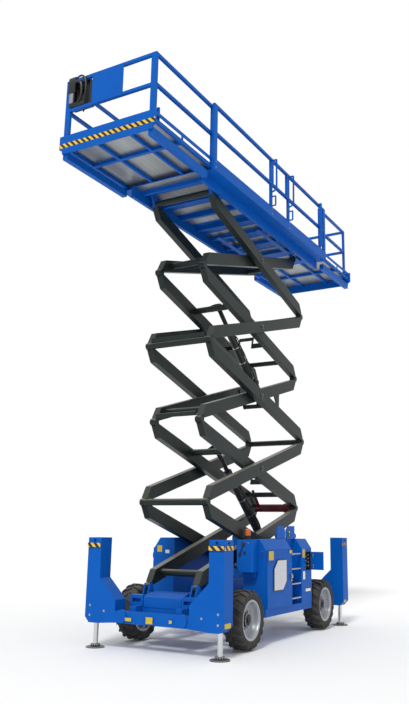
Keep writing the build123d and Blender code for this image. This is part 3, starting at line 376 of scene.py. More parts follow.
class Piece:
    """One added piece, gathered shape by shape in the machine's frame."""

    def __init__(self, name, finish=None):
        self.name, self.points, self.faces, self.marks, self.finishes = name, [], [], [], []
        if finish:
            self.use(finish)

    def use(self, finish):
        """The shapes that follow get this finish."""
        if finish not in self.finishes:
            self.finishes.append(finish)
        self.mark = self.finishes.index(finish)

    def take(self, made):
        """Takes over a small closed mesh, its faces turned outwards."""
        bmesh.ops.recalc_face_normals(made, faces=made.faces)
        made.verts.index_update()
        first = len(self.points)
        self.points += [tuple(corner.co) for corner in made.verts]
        for face in made.faces:
            self.faces.append([first + corner.index for corner in face.verts])
            self.marks.append(self.mark)
        made.free()

    def block(self, low, high, edge=0.0):
        """A box between two corners, with its edges broken."""
        low, high = Vector(low), Vector(high)
        made = bmesh.new()
        bmesh.ops.create_cube(made, size=1.0)
        shape = Matrix.Translation((low + high) / 2) @ Matrix.Diagonal((*(high - low), 1))
        bmesh.ops.transform(made, matrix=shape, verts=made.verts)
        broken(made, made.edges[:], edge)
        self.take(made)

    def rod(self, start, end, radius, sides=16, edge=0.0):
        """A straight bar or disc from start to end, with its rims broken."""
        start, end = Vector(start), Vector(end)
        made = bmesh.new()
        turn = (end - start).to_track_quat("Z", "Y").to_matrix().to_4x4()
        bmesh.ops.create_cone(made, cap_ends=True, segments=sides, radius1=radius,
                              radius2=radius, depth=(end - start).length,
                              matrix=Matrix.Translation((start + end) / 2) @ turn)
        rims = [line for line in made.edges
                if any(len(face.verts) == sides for face in line.link_faces)]
        broken(made, rims, edge)
        self.take(made)

    def turned(self, loop, centre, axis, sides=32):
        """A solid turned about an axis, from (radius, height) points: a ring, or closed by tips."""
        turn = Vector(axis).to_track_quat("Z", "Y").to_matrix()
        made = bmesh.new()
        rings = []
        for radius, height in loop:
            if radius == 0.0:
                tip = made.verts.new(turn @ Vector((0, 0, height)) + Vector(centre))
                rings.append([tip] * sides)
                continue
            ring = []
            for step in range(sides):
                angle = 2 * pi * step / sides
                spot = Vector((radius * cos(angle), radius * sin(angle), height))
                ring.append(made.verts.new(turn @ spot + Vector(centre)))
            rings.append(ring)
        hollow = loop[0][0] > 0.0
        for i in range(len(rings) if hollow else len(rings) - 1):
            walls(made, rings[i], rings[(i + 1) % len(rings)])
        self.take(made)

    def prism(self, outline, reach, edge=0.0):
        """A flat outline of points carried along reach."""
        made = bmesh.new()
        base = [made.verts.new(Vector(point)) for point in outline]
        top = [made.verts.new(Vector(point) + Vector(reach)) for point in outline]
        made.faces.new(base)
        made.faces.new(top)
        walls(made, base, top)
        broken(made, made.edges[:], edge)
        self.take(made)

    def loft(self, sections):
        """A solid through like-sized loops of points, closed at both ends."""
        made = bmesh.new()
        rings = [[made.verts.new(Vector(point)) for point in section] for section in sections]
        for one, two in zip(rings, rings[1:]):
            walls(made, one, two)
        made.faces.new(rings[0])
        made.faces.new(rings[-1])
        self.take(made)

    def pipe(self, route, radius, sides=10):
        """A round bar bent smoothly through a route of points."""
        curve = bpy.data.curves.new(self.name, "CURVE")
        curve.dimensions = "3D"
        curve.bevel_depth = radius
        curve.bevel_resolution = max(1, sides // 4 - 1)
        curve.use_fill_caps = True
        curve.resolution_u = 6
        spline = curve.splines.new("NURBS")
        spline.points.add(len(route) - 1)
        for point, place in zip(spline.points, route):
            point.co = (*place, 1.0)
        spline.order_u = 3
        spline.use_endpoint_u = True
        holder = added(self.name, curve)
        mesh = evaluated(holder)
        made = bmesh.new()
        made.from_mesh(mesh)
        bmesh.ops.remove_doubles(made, verts=made.verts, dist=1e-5)
        bpy.data.objects.remove(holder)
        bpy.data.meshes.remove(mesh)
        self.take(made)

    def object(self):
        """The finished mesh as an object at the origin."""
        mesh = bpy.data.meshes.new(self.name)
        mesh.from_pydata(self.points, [], self.faces)
        for finish in self.finishes:
            mesh.materials.append(FINISHES[finish])
        mesh.polygons.foreach_set("material_index", self.marks)
        mesh.shade_smooth()
        mesh.set_sharp_from_angle(angle=radians(32.0))
        return added(self.name, mesh)

    def place(self, body, slot, *replaced):
        """Makes the object and fixes it to its body."""
        fix(self.object(), body, slot, *replaced)


def joined(name, parts):
    """Several objects as one, under one name."""
    made = bmesh.new()
    finishes = []
    for part in parts:
        before = len(made.faces)
        made.from_mesh(part.data)
        made.faces.ensure_lookup_table()
        for face in made.faces[before:]:
            finish = part.data.materials[face.material_index]
            if finish not in finishes:
                finishes.append(finish)
            face.material_index = finishes.index(finish)
        bpy.data.objects.remove(part)
    mesh = bpy.data.meshes.new(name)
    made.to_mesh(mesh)
    made.free()
    for finish in finishes:
        mesh.materials.append(finish)
    return added(name, mesh)


# ---- repeats ---------------------------------------------
def repeat_tree(name, **inputs):
    """A geometry tree with its output, mesh, finish and named inputs."""
    tree = bpy.data.node_groups.new(name, "GeometryNodeTree")
    sockets = tree.interface
    sockets.new_socket(name="Geometry", in_out="OUTPUT", socket_type="NodeSocketGeometry")
    sockets.new_socket(name="Geometry", in_out="INPUT", socket_type="NodeSocketGeometry")
    for label, (kind, value) in inputs.items():
        socket = sockets.new_socket(name=label, in_out="INPUT", socket_type=kind)
        socket.default_value = value
    sockets.new_socket(name="Finish", in_out="INPUT", socket_type="NodeSocketMaterial")
    return tree, add_node(tree, "NodeGroupInput").outputs


def end_tree(tree, given, **links):
    """Ends a geometry tree in real copies of its mesh, with their finish."""
    copies = add_node(
        tree, "GeometryNodeInstanceOnPoints", links={"Instance": given["Geometry"], **links})
    real = add_node(tree, "GeometryNodeRealizeInstances", links={"Geometry": copies.outputs[0]})
    coated = add_node(
        tree, "GeometryNodeSetMaterial",
        links={"Geometry": real.outputs[0], "Material": given["Finish"]})
    add_node(tree, "NodeGroupOutput", links={0: coated.outputs[0]})


def axle_tree():
    """Repeats the modified mesh evenly around the Y axis through a centre."""
    tree, given = repeat_tree(AXLE_REPEAT, Count=("NodeSocketInt", 12),
                              Centre=("NodeSocketVector", (0.0, 0.0, 0.0)))
    points = add_node(
        tree, "GeometryNodePoints", links={"Count": given["Count"], "Position": given["Centre"]})
    index = add_node(tree, "GeometryNodeInputIndex")
    share = add_node(
        tree, "ShaderNodeMath", {"operation": "DIVIDE"}, {0: index.outputs[0], 1: given["Count"]})
    angle = add_node(
        tree, "ShaderNodeMath", {"operation": "MULTIPLY", 1: 2 * pi}, {0: share.outputs[0]})
    turn = add_node(tree, "ShaderNodeCombineXYZ", links={"Y": angle.outputs[0]})
    end_tree(tree, given, Points=points.outputs[0], Rotation=turn.outputs[0])


def line_tree():
    """Repeats the modified mesh at even steps along a line."""
    tree, given = repeat_tree(LINE_REPEAT, Count=("NodeSocketInt", 2),
                              Start=("NodeSocketVector", (0.0, 0.0, 0.0)),
                              Step=("NodeSocketVector", (0.0, 0.0, 0.1)))
    line = add_node(
        tree, "GeometryNodeMeshLine",
        links={"Count": given["Count"], "Start Location": given["Start"], "Offset": given["Step"]})
    end_tree(tree, given, Points=line.outputs[0])


def repeated(piece, tree_name, finish, **values):
    """Runs a geometry tree on a piece and keeps its result as a plain mesh object."""
    holder = piece.object()
    tree = bpy.data.node_groups[tree_name]
    modifier = holder.modifiers.new("repeat", "NODES")
    modifier.node_group = tree
    values["Finish"] = FINISHES[finish]
    for socket in tree.interface.items_tree:
        if socket.in_out == "INPUT" and socket.name in values:
            modifier[socket.identifier] = values[socket.name]
    mesh = evaluated(holder)
    holder.modifiers.clear()
    mesh.name = piece.name
    holder.data = mesh
    return holder


# ---- wheels ----------------------------------------------
def tyre(name, centre, body, node):
    """Pneumatic tyre: a round carcass and two rows of slanted bars over its shoulders."""
    wheel = bpy.context.scene.lift_wheels
    top = wheel.tyre_radius
    carcass = Piece(name, "tyre_rubber")
    # radius and place across, from the bead to the middle of the tread
    half = [(0.287, 0.128), (0.3, 0.142), (0.335, 0.149), (0.368, 0.143), (0.388, 0.122),
            (0.396, 0.07), (0.399, 0.0)]
    loop = half + [(radius, -across) for radius, across in reversed(half[:-1])]
    carcass.turned(loop, centre, ACROSS, sides=64)
    parts = [carcass.object()]
    # place across the tread, drift along it, foot and crown radius of a bar
    run = [(0.004, 0.0, 0.38, top), (0.06, 0.022, 0.38, top), (0.112, 0.05, 0.375, top - 0.004),
           (0.138, 0.066, 0.35, top - 0.022), (0.148, 0.074, 0.335, 0.366),
           (0.1495, 0.078, 0.33, 0.342)]
    shoulder, taper = 0.12, 0.82
    for side in (1, -1):
        bar = Piece(name + "_bars", "tyre_rubber")
        sections = []
        for across, drift, foot, crown in run:
            wide = wheel.bar_width * (0.5 if across < shoulder else 0.4)
            slim, y = wide * taper, side * across
            sections.append([(drift - wide, y, foot), (drift + wide, y, foot),
                             (drift + slim, y, crown), (drift - slim, y, crown)])
        bar.loft(sections)
        # the bars of the second row stand between those of the first
        turn = Matrix.Rotation(pi / wheel.bar_count if side < 0 else 0.0, 3, "Y")
        bar.points = [tuple(turn @ Vector(point)) for point in bar.points]
        parts.append(repeated(bar, AXLE_REPEAT, "tyre_rubber",
                              Count=wheel.bar_count, Centre=centre))
    fix(joined(name, parts), body, "tyre_rubber", node)


def rim(name, centre, body, outward):
    """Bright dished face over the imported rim, a black hub with its cap, and a ring of nuts."""
    wheel = bpy.context.scene.lift_wheels
    # all heights are measured outwards from the machine's middle plane
    middle, axis = (centre[0], 0.0, centre[2]), (0, outward, 0)
    dish = Piece(name + "_dish", "rim_paint")
    face = [(0.2875, 1.0875), (0.279, 1.0905), (0.266, 1.088), (0.2585, 1.079),
            (0.2545, 1.05), (0.2495, 0.992), (0.236, 0.9735), (0.17, 0.9725), (0.1, 0.971)]
    back = [(0.1, 0.967), (0.257, 0.967), (0.2875, 1.084)]
    dish.turned(face + back, middle, axis, sides=64)
    hub = Piece(name + "_hub", "black_paint")
    hub.turned([(0.0, 0.96), (0.104, 0.96), (0.104, 1.004), (0.0965, 1.026), (0.084, 1.034),
                (0.05, 1.0355), (0.046, 1.05), (0.03, 1.056), (0.0, 1.057)],
               middle, axis, sides=40)
    nut = Piece(name + "_nuts", "zinc_plate")
    foot, head, stud = [(wheel.nut_circle, outward * y, 0) for y in (0.97, 0.994, 1.004)]
    nut.rod(foot, head, 0.015, sides=6, edge=0.002)
    nut.rod(foot, stud, 0.008, sides=8)
    ring = repeated(nut, AXLE_REPEAT, "zinc_plate", Count=wheel.nut_count, Centre=middle)
    fix(joined(name, [dish.object(), hub.object(), ring]), body, "rim_paint")


def wheels():
    """Tyres and rims on their four wheel bodies."""
    axle_tree()
    for end in ("front", "rear"):
        for hand, outward in (("left", 1), ("right", -1)):
            node, body = f"tyre_{end}_{hand}", f"wheel_{end}_{hand}"
            low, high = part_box(node)
            centre = tuple((low + high) / 2)
            tyre(f"{end}_{hand}_tyre", centre, body, node)
            rim(f"{end}_{hand}_rim", centre, body, outward)


# ---- bands, plates and bolts -----------------------------
def film(piece, finish, face, low, high):
    """A thin film on a flat face, given by axis, place and side, between two corners."""
    axis, place, side = face
    thick = bpy.context.scene.lift_marks.film
    near, far = sorted((place + side * FILM_GAP, place + side * thick))
    one, two = list(low), list(high)
    one.insert(axis, near)
    two.insert(axis, far)
    piece.use(finish)
    piece.block(one, two)


def marks():
    """Striped bands on the deck's nose and the posts, and bare plates where plates belong."""
    nose = Piece("fascia_band")
    film(nose, "fascia_tape", (0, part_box("front_deck")[1].x, 1), (-0.868, 7.259), (0.868, 7.331))
    nose.place("front_deck", "blue_paint")
    bands = Piece("post_bands")
    end = (0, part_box("front_outriggers")[1].x, 1)
    for hand in (1, -1):
        inner, outer = sorted((hand * 0.948, hand * 1.188))
        side = (1, hand * POST_SIDE, hand)
        film(bands, "end_tape", end, (inner, 1.444), (outer, 1.504))
        film(bands, "side_tape", side, (2.148, 1.444), (2.399, 1.504))
        film(bands, "amber_tape", side, (-2.38, 1.444), (-2.148, 1.496))
    bands.place("chassis", "blue_paint")
    plates = Piece("chassis_plates")
    post, front, side = (1, POST_SIDE, 1), (0, CABINET_FRONT, 1), (1, CABINET_SIDE, 1)
    over_side = (1, CABINET_SIDE + 0.0005, 1)
    for finish, face, low, high in (
            ("yellow_film", end, (-0.432, 0.424), (-0.324, 0.471)),
            ("yellow_film", end, (-0.068, 0.409), (0.047, 0.501)),
            ("yellow_film", end, (0.325, 0.438), (0.372, 0.481)),
            ("yellow_film", post, (2.2, 0.42), (2.37, 0.485)),
            ("yellow_film", post, (-2.28, 0.415), (-2.165, 0.462)),
            ("yellow_film", front, (-0.993, 1.343), (-0.899, 1.446)),
            ("white_film", front, (-0.83, 1.323), (-0.749, 1.377)),
            ("yellow_film", side, (-0.69, 1.262), (-0.585, 1.405)),
            ("white_film", side, (-0.69, 0.905), (-0.6, 1.035)),
            ("black_film_and_painted_shade", side, (-0.935, 0.684), (-0.69, 0.762)),
            ("white_film", over_side, (-0.92, 0.7), (-0.705, 0.746))):
        film(plates, finish, face, low, high)
    plates.place("chassis", "blue_paint")


def door_fittings():
    """Bare panel with cut corners, two plates and a paddle latch on the left door."""
    door = Piece("left_door_fittings")
    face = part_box("left_door")[1].y
    film(door, "yellow_film", (1, face, 1), (0.63, 1.262), (0.805, 1.4))
    film(door, "yellow_film", (1, face, 1), (-0.075, 1.352), (0.03, 1.4))
    # a grey panel over a slightly larger black one, which shows as its edge
    for finish, grow, stand in (("black_film_and_painted_shade", 0.014, 0.0012), ("grey_film", 0.0, 0.0022)):
        left, right, low, top = 0.15 - grow, 0.6 + grow, 0.8 - grow, 1.25 + grow
        cut = 0.13 + grow * 0.4
        door.use(finish)
        door.prism([(left, face, low + cut), (left + cut, face, low), (right, face, low),
                    (right, face, top - cut), (right - cut, face, top), (left, face, top)],
                   (0, stand, 0))
    # latch: plate, recess and paddle
    for finish, low, high, edge in (
            ("zinc_plate", (-0.086, face, 0.912), (-0.018, face + 0.006, 1.026), 0.004),
            ("black_plastic", (-0.076, face + 0.005, 0.924), (-0.028, face + 0.0075, 1.014), 0.001),
            ("zinc_plate", (-0.07, face + 0.006, 0.955), (-0.034, face + 0.02, 1.008), 0.005)):
        door.use(finish)
        door.block(low, high, edge)
    door.place("left_door", "blue_paint")


def bolt_row(name, bars, count, start, step):
    """Like bolt heads at even steps upwards, each a stack of short bars."""
    head = Piece(name, "zinc_plate")
    for bar in bars:
        head.rod(*bar)
    return repeated(head, LINE_REPEAT, "zinc_plate",
                    Count=count, Start=start, Step=(0.0, 0.0, step))


def bolt_heads():
    """Bright bolt heads in rows on the posts and rail feet."""
    line_tree()
    parts = []
    for side in (1, -1):
        washer = ((0, 0, 0), (side * 0.003, 0, 0), 0.017, 20, 0.001)
        hexagon = ((side * 0.003, 0, 0), (side * 0.011, 0, 0), 0.0125, 6, 0.002)
        for hand in (1, -1):
            for count, across, up, step in ((2, 1.102, 0.466, 0.139), (1, 0.84, 0.536, 0.0)):
                parts.append(bolt_row("post_bolts", (washer, hexagon), count,
                                      (side * POST_END, hand * across, up), step))
    fix(joined("post_bolts", parts), "chassis", "blue_paint")
    parts = []
    for place in RAIL_BOLT_PLACES:
        for hand in (1, -1):
            hexagon = ((0, 0, 0), (0, hand * 0.008, 0), 0.011, 6, 0.002)
            parts.append(bolt_row("main_rail_bolts", (hexagon,), 2,
                                  (place, hand * RAIL_FACE, 7.29), 0.09))
    fix(joined("main_rail_bolts", parts), "platform", "blue_paint")


# ---- chassis fittings ------------------------------------
def upright(low, high):
    """Where the upright axis of a box meets the ground."""
    return (low.x + high.x) / 2, (low.y + high.y) / 2, 0.0


def pads():
    """Black foot and collar around each outrigger rod."""
    # radius and height over the collar and the foot plate, and back under its rim
    loop = [(0.0375, 0.0512), (0.067, 0.0512), (0.0715, 0.047), (0.0725, 0.0165),
            (0.135, 0.0155), (0.1415, 0.0115), (0.142, 0.0006), (0.1385, 0.0006),
            (0.1385, 0.012), (0.0375, 0.012)]
    for end in ("front", "rear"):
        for hand in ("left", "right"):
            low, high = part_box(f"leg_{end}_{hand}")
            foot = Piece(f"{end}_{hand}_pad", "black_paint")
            foot.turned(loop, upright(low, high), UP, sides=48)
            foot.place(f"leg_{end}_{hand}", "black_paint")


def beacon_lamp():
    """Ribbed amber lens on a dark collar."""
    low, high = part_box("beacon")
    centre, radius = upright(low, high), (high.x - low.x) / 2
    collar, crown, ribs = 0.058, 0.02, 6
    seat = low.z + collar
    lamp = Piece("beacon_lamp", "black_plastic")
    lamp.turned([(0.0, low.z), (radius, low.z), (radius, low.z + 0.012),
                 (radius * 0.8, low.z + 0.02), (radius * 0.8, low.z + 0.05),
                 (radius * 0.92, seat), (0.0, seat)], centre, UP)
    lamp.use("amber_lens")
    profile = [(0.0, seat), (radius, seat)]
    step = (high.z - low.z - collar - crown) / ribs
    for rib in range(ribs):
        base = low.z + 0.06 + rib * step
        profile += [(radius, base + step * 0.2), (radius * 0.955, base + step * 0.6),
                    (radius, base + step * 0.95)]
    profile += [(radius * 0.9, high.z - 0.006), (radius * 0.6, high.z), (0.0, high.z)]
    lamp.turned(profile, centre, UP, sides=36)
    lamp.place("chassis", "amber_lens", "beacon")


def crank(bits):
    """Hand crank, knob and small plug on the end of the manual box."""
    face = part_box("manual_box")[1].x
    bits.use("black_plastic")
    bits.turned([(0.0, 0.0005), (0.034, 0.0005), (0.034, 0.008), (0.026, 0.014), (0.0, 0.015)],
                (face, 0.757, 1.505), ALONG, 24)
    bits.rod((face + 0.012, 0.748, 1.492), (face + 0.02, 0.702, 1.36), 0.008, 10)
    bits.turned([(0.0, 0.0), (0.018, 0.002), (0.023, 0.016), (0.018, 0.03), (0.0, 0.034)],
                (face + 0.004, 0.695, 1.345), ALONG, 20)
    bits.turned([(0.0, 0.0005), (0.018, 0.0005), (0.02, 0.014), (0.015, 0.024), (0.0, 0.026)],
                (face, 0.78, 1.375), ALONG, 20)
    bits.use("zinc_plate")
    bits.turned([(0.0, 0.0), (0.009, 0.0), (0.007, 0.004), (0.0, 0.005)],
                (face, 0.84, 1.525), ALONG, 12)


def louvres(bits):
    """Pressed hoods over slots in the cabinet's front wall, each slot a black film of painted
    shade.
    """
    face, count, pitch = CABINET_FRONT, 5, 0.022
    for row in range(count):
        z = 1.295 + row * pitch
        # painted shade: a black film where the slot opens under the hood
        bits.use("black_film_and_painted_shade")
        bits.block((face + 0.0002, 0.95, z), (face + 0.0012, 1.02, z + 0.009))
        bits.use("blue_paint")
        bits.prism([(face, 0.945, z + 0.018), (face, 0.945, z + 0.006),
                    (face + 0.009, 0.945, z + 0.004)], (0, 0.08, 0))


def rung_sleeves(bits):
    """Bright sleeves on the ladder's rungs."""
    bits.use("zinc_plate")
    for height in RUNG_HEIGHTS:
        bits.rod((-0.53, 1.03, height + 0.001), (-0.13, 1.03, height + 0.001), 0.0155, sides=12)


def ground_controls(bits):
    """Bezel, switches and lamps of the ground controls, and painted shade lining their recess."""
    low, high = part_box("ground_control_panel")
    front, wide, tall = high.y, high.x - low.x, high.z - low.z
    bits.use("black_plastic")
    bits.block((low.x + 0.008, front, low.z + 0.01),
               (high.x - 0.008, front + 0.003, high.z - 0.01), 0.001)
    bits.use("grey_plastic")
    # shares of the panel's width and height, and radius
    for u, v, radius in ((0.3, 0.8, 0.016), (0.7, 0.8, 0.012), (0.3, 0.5, 0.013),
                         (0.7, 0.5, 0.013), (0.5, 0.22, 0.022)):
        bits.turned([(0.0, 0.0025), (radius, 0.0025), (radius, 0.012), (radius * 0.8, 0.018),
                     (0.0, 0.02)], (low.x + u * wide, front, low.z + v * tall), ACROSS, 20)
    # black film as painted shade in the recess: rear wall, floor, roof and front wall
    bits.use("black_film_and_painted_shade")
    for one, two in (((-0.9445, 0.931, 1.0515), (-0.9425, 1.0485, 1.3535)),
                     ((-0.9445, 0.981, 1.0505), (-0.7105, 1.0485, 1.0525)),
                     ((-0.9445, 0.981, 1.3525), (-0.7105, 1.0485, 1.3545)),
                     ((-0.7125, 0.981, 1.0515), (-0.7105, 1.0485, 1.3535))):
        bits.block(one, two)
    bits.use("grey_plastic")
    for height in (1.12, 1.18, 1.24, 1.3):
        bits.turned([(0.0, 0.0), (0.016, 0.0), (0.014, 0.008), (0.0, 0.009)],
                    (-0.9425, 1.0, height), ALONG, 16)


def lug_pin(bits):
    """Clevis pin in the slot of the rear lug, the slot a black film of painted shade."""
    # painted shade: a black film where the slot opens
    bits.use("black_film_and_painted_shade")
    bits.block((-0.35, 0.9202, 1.6), (-0.262, 0.9214, 1.735))
    bits.use("zinc_plate")
    bits.turned([(0.0, 0.0), (0.02, 0.0), (0.02, 0.012), (0.015, 0.018), (0.0, 0.02)],
                (-0.3, 0.9212, 1.69), ACROSS, 20)
    bits.rod((-0.3, 0.928, 1.68), (-0.305, 0.93, 1.625), 0.006, 10)


def cabinet_details():
    """Small fittings of the left cabinet, as one piece on the chassis."""
    bits = Piece("cabinet_details")
    crank(bits)
    louvres(bits)
    rung_sleeves(bits)
    ground_controls(bits)
    lug_pin(bits)
    bits.place("chassis", "blue_paint")


def flap_hinges():
    """Two thin hinge leaves on the small door of the ground controls."""
    flap = Piece("control_flap_hinges")
    low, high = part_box("control_door")
    flap.use("zinc_plate")
    for z in (1.11, 1.29):
        flap.block((high.x, low.y + 0.012, z - 0.028),
                   (high.x + 0.0014, low.y + 0.05, z + 0.028), 0.0004)
    flap.place("control_door", "blue_paint")


# ---- scissor ---------------------------------------------
def pin_caps():
    """Low retaining plates with three screws over the centre pins of the outer arms."""
    middle = (FRONT_PIVOT[0] + REAR_PIVOT_X) / 2
    radius, reach, screws, first_angle = 0.062, 0.04, 3, 0.5
    for level in LEVELS:
        caps = Piece(f"pin_caps_{level}")
        height = FRONT_PIVOT[1] + (level - 0.5) * LEVEL_RISE
        for hand in (1, -1):
            caps.use("arm_paint")
            caps.turned([(0.0, 0.0), (radius, 0.0), (radius, 0.0025), (radius - 0.003, 0.004),
                         (0.0, 0.004)], (middle, hand * ARM_FACE, height), (0, hand, 0), 40)
            caps.use("zinc_plate")
            for screw in range(screws):
                angle = 2 * pi * screw / screws + first_angle
                spot = (middle + reach * cos(angle), hand * ARM_FACE,
                        height + reach * sin(angle))
                caps.turned([(0.0, 0.0035), (0.008, 0.0035), (0.0065, 0.0048), (0.0, 0.0048)],
                            spot, (0, hand, 0), 10)
        caps.place(f"arms_{level}_outer", "arm_paint")


def cylinder_details():
    """Gland ring, foot band, hose clamps and two clipped hoses on both lift cylinders."""
    along = Vector(BARREL_WAY)
    side = Vector((-along.z, 0.0, along.x))
    inward = Vector((0.0, 0.03, 0.0))
    skin, spans = BARREL_SKIN, 8
    for name, foot in BARREL_FOOT.items():
        start = Vector(foot)
        gland = Piece(f"{name}_gland", "black_paint")
        gland.turned([(0.0705, 1.6), (0.0745, 1.604), (0.0745, 1.646), (0.0715, 1.6505),
                      (0.0405, 1.6505), (0.0405, 1.6495), (skin, 1.6485), (skin, 1.6)],
                     start, along, 40)
        gland.turned([(skin, 0.16), (0.0735, 0.162), (0.0735, 0.198), (skin, 0.2)],
                     start, along, 40)
        gland.use("hose_rubber")
        # each hose weaves a little from clip to clip, and its ends turn in to the barrel
        for y, lift, reach in ((0.088, 0.02, 1.5), (0.104, -0.012, 1.35)):
            route = [start + along * (reach * step / spans)
                     + side * (lift + 0.014 * (-1) ** step) + Vector((0.0, y, 0.0))
                     for step in range(1, spans + 1)]
            route = [route[0] - inward, *route, route[-1] - inward + along * 0.02]
            gland.pipe(route, 0.011)
        gland.use("zinc_plate")
        for place in (0.55, 0.95, 1.3):
            gland.turned([(skin, place), (0.0718, place), (0.0718, place + 0.02),
                          (skin, place + 0.02)], start, along, 40)
        gland.place(f"{name}_barrel", "black_paint")


# ---- platform --------------------------------------------
def deck_sheets():
    """Bare metal sheet under and over the decks' blue grids."""
    front, rear, main = (2.262, 3.93), (-3.83, -2.15), (-2.29, 2.37)
    bays = [(middle - 0.12, middle + 0.12) for middle in DECK_BAYS]
    gap, near, far = 0.004, 0.0002, 0.0012
    # reach along, half width and heights of the grid, then its bays and their half width
    for name, body, reach, half, under, top, below, inner in (
            ("front_deck_sheets", "front_deck", front, 0.79, 7.338, 7.342, [front], 0.79),
            ("rear_deck_sheets", "rear_deck", rear, 0.79, 7.338, 7.342, [rear], 0.79),
            ("main_deck_sheets", "platform", main, 0.735, 7.273, 7.277, bays, 0.638)):
        sheets = Piece(name, "deck_sheet")
        for start, end in below:
            sheets.block((start + gap, -inner, under - far), (end - gap, inner, under - near))
        sheets.use("tread_sheet")
        sheets.block((reach[0] + gap, -half, top + near), (reach[1] - gap, half, top + far))
        sheets.place(body, "blue_paint")


def platform_controls():
    """Hood, faceplate, guard bars, knob and cable gland on the platform's control box."""
    low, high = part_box("platform_control_box")
    box = Piece("platform_control_fittings", "black_plastic")
    # hood that hooks over the top rail and hangs down its front
    hood = [(low.x + 0.02, 8.405), (3.914, 8.405), (3.914, 8.2), (3.952, 8.16), (3.957, 8.36),
            (3.94, 8.44), (3.9, 8.452), (low.x + 0.05, 8.452)]
    box.prism([(x, -0.79, z) for x, z in hood], (0, 0.135, 0), 0.006)
    box.block((3.914, -0.775, 7.93), (3.945, -0.67, 8.2), 0.01)
    box.use("grey_plastic")
    box.block((3.94, -0.765, 8.0), (3.95, -0.69, 8.3), 0.006)
    box.use("black_plastic")
    # outer and inner guard bar, and the blocks that they end in
    box.pipe([(3.93, -0.66, 8.4), (3.95, -0.58, 8.43), (3.95, -0.49, 8.4), (3.945, -0.45, 8.3),
              (3.935, -0.46, 8.1), (3.92, -0.5, 7.96)], 0.014)
    box.pipe([(3.945, -0.66, 8.34), (3.95, -0.58, 8.34), (3.95, -0.53, 8.28),
              (3.94, -0.53, 8.1), (3.93, -0.58, 7.99), (3.93, -0.67, 7.97)], 0.02)
    box.block((3.915, -0.68, 7.925), (3.94, -0.47, 7.985), 0.008)
    box.block((3.92, -0.52, 8.3), (3.955, -0.44, 8.38), 0.012)
    box.rod((3.755, -0.575, high.z - 0.002), (3.755, -0.575, high.z + 0.02), 0.012, 16, 0.002)
    box.use("hose_rubber")
    box.turned([(0.0, low.z - 0.045), (0.009, low.z - 0.045), (0.011, low.z - 0.02),
                (0.018, low.z - 0.016), (0.018, low.z + 0.001), (0.0, low.z + 0.001)],
               ((low.x + high.x) / 2, -0.6, 0.0), UP, 18)
    box.place("front_deck", "black_plastic")


# ---- stage -----------------------------------------------
def camera_turn(heading, pitch, roll):
    """Rotation of a camera that looks along heading and pitch."""
    look = Vector((-sin(heading) * cos(pitch), cos(heading) * cos(pitch), sin(pitch)))
    return look.to_track_quat("-Z", "Y").to_matrix() @ Matrix.Rotation(roll, 3, "Z")


def make_camera():
    """Camera at the height of a standing person, in front of and left of the machine."""
    stage = bpy.context.scene.lift_stage
    data = bpy.data.cameras.new("camera")
    data.sensor_fit = "AUTO"
    data.sensor_width = 36.0
    data.lens = stage.focal_length
    data.shift_x = -0.0363
    data.clip_end = 500.0
    camera = added("camera", data)
    turn = camera_turn(stage.heading, stage.pitch, stage.roll).to_4x4()
    camera.matrix_world = Matrix.Translation(stage.eye) @ turn
    bpy.context.scene.camera = camera


def make_world():
    """A pale room, white to the eye and softer as light, seen with plain colours."""
    bpy.context.scene.view_settings.view_transform = "Standard"
    world = bpy.data.worlds.new("pale room")
    bpy.context.scene.world = world
    world.use_nodes = True
    tree = world.node_tree
    tree.nodes.clear()
    path = add_node(tree, "ShaderNodeLightPath")
    seen = add_node(
        tree, "ShaderNodeMath", {"operation": "MAXIMUM"},
        {0: path.outputs["Is Camera Ray"], 1: path.outputs["Is Transmission Ray"]})
    light, white = [add_node(tree, "ShaderNodeBackground",
                             {"Color": (1.0, 1.0, 1.0, 1.0), "Strength": strength})
                    for strength in (0.75, 1.0)]
    mix = add_node(
        tree, "ShaderNodeMixShader",
        links={0: seen.outputs[0], 1: light.outputs[0], 2: white.outputs[0]})
    add_node(tree, "ShaderNodeOutputWorld", links={"Surface": mix.outputs[0]})


def make_lamp():
    """One broad lamp from high in front."""
    data = bpy.data.lights.new("key", "SUN")
    data.energy = 1.6
    data.angle = radians(12.0)
    lamp = added("key", data)
    lamp.rotation_euler = Vector((-1.0, -0.25, -1.1)).to_track_quat("-Z", "Y").to_euler()


def make_floor():
    """A plain pale floor that keeps the machine's soft shadow."""
    mesh = bpy.data.meshes.new("floor")
    size = 200.0
    mesh.from_pydata([(-size, -size, 0), (size, -size, 0), (size, size, 0), (-size, size, 0)],
                     [], [(0, 1, 2, 3)])
    floor = added("floor", mesh)
    white = {"Base Color": (0.93, 0.93, 0.93, 1.0), "Roughness": 1.0}
    mesh.materials.append(new_material("matt white floor", white)[0])


class Step:
    """Runs its functions in turn."""

    def execute(self, context):
        for function in self.functions:
            function()
        return {"FINISHED"}


class LIFT_OT_stage(Step, bpy.types.Operator):
    """Floor, pale room, lamp and camera"""

    bl_idname = "lift.stage"
    bl_label = "Stage"
    functions = (make_camera, make_world, make_lamp, make_floor)


class LIFT_OT_finishes(Step, bpy.types.Operator):
    """Paint, rubber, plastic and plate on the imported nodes"""

    bl_idname = "lift.finishes"
    bl_label = "Finishes"
    functions = (make_finishes, finish_nodes)


class LIFT_OT_wheels(Step, bpy.types.Operator):
    """Tyres with their bars, rims, hubs and nuts"""

    bl_idname = "lift.wheels"
    bl_label = "Wheels"
    functions = (wheels,)


class LIFT_OT_marks(Step, bpy.types.Operator):
    """Striped bands, bare plates and the left door's fittings"""

    bl_idname = "lift.marks"
    bl_label = "Bands and plates"
    functions = (marks, door_fittings)


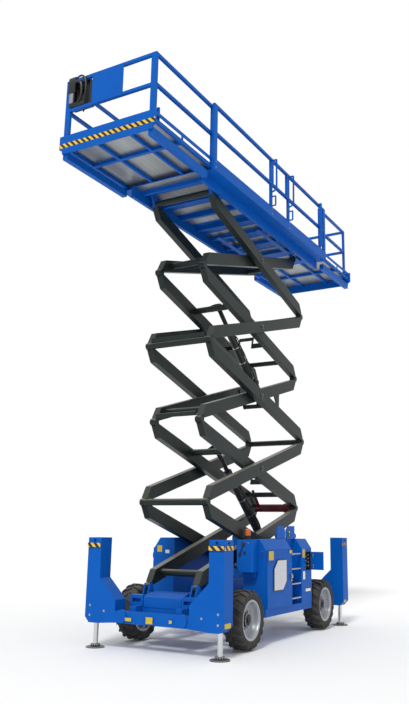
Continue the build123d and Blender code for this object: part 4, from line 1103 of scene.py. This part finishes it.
class LIFT_OT_bolts(Step, bpy.types.Operator):
    """Rows of bolt heads on the posts and rail feet"""

    bl_idname = "lift.bolts"
    bl_label = "Bolts"
    functions = (bolt_heads,)


class LIFT_OT_chassis(Step, bpy.types.Operator):
    """Pads, beacon, small fittings of the cabinet and hinge leaves"""

    bl_idname = "lift.chassis"
    bl_label = "Chassis fittings"
    functions = (pads, beacon_lamp, cabinet_details, flap_hinges)


class LIFT_OT_scissor(Step, bpy.types.Operator):
    """Pin caps, and rings and hoses on the lift cylinders"""

    bl_idname = "lift.scissor"
    bl_label = "Scissor fittings"
    functions = (pin_caps, cylinder_details)


class LIFT_OT_platform(Step, bpy.types.Operator):
    """Deck sheets and the platform controls"""

    bl_idname = "lift.platform"
    bl_label = "Platform fittings"
    functions = (deck_sheets, platform_controls)


OPERATORS = (LIFT_OT_stage, LIFT_OT_finishes, LIFT_OT_wheels, LIFT_OT_marks, LIFT_OT_bolts,
             LIFT_OT_chassis, LIFT_OT_scissor, LIFT_OT_platform)


class LIFT_PT_panel(bpy.types.Panel):
    """Lists the steps of the scissor lift"""

    bl_idname = "LIFT_PT_panel"
    bl_label = "Scissor lift"
    bl_space_type = "VIEW_3D"
    bl_region_type = "UI"
    bl_category = "Lift"

    def draw(self, context):
        for operator in OPERATORS:
            self.layout.operator(operator.bl_idname)


SETTINGS = {"lift_finish": LiftFinishSettings, "lift_wheels": LiftWheelSettings,
            "lift_marks": LiftMarkSettings, "lift_stage": LiftStageSettings}
CLASSES = (*SETTINGS.values(), *OPERATORS, LIFT_PT_panel)


def register():
    for item in CLASSES:
        bpy.utils.register_class(item)
    for name, group in SETTINGS.items():
        setattr(bpy.types.Scene, name, PointerProperty(type=group))


def unregister():
    for name in SETTINGS:
        delattr(bpy.types.Scene, name)
    for item in reversed(CLASSES):
        bpy.utils.unregister_class(item)


def main():
    register()
    for operator in OPERATORS:
        group, action = operator.bl_idname.split(".")
        getattr(getattr(bpy.ops, group), action)()
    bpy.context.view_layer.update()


if __name__ == "__main__":
    main()
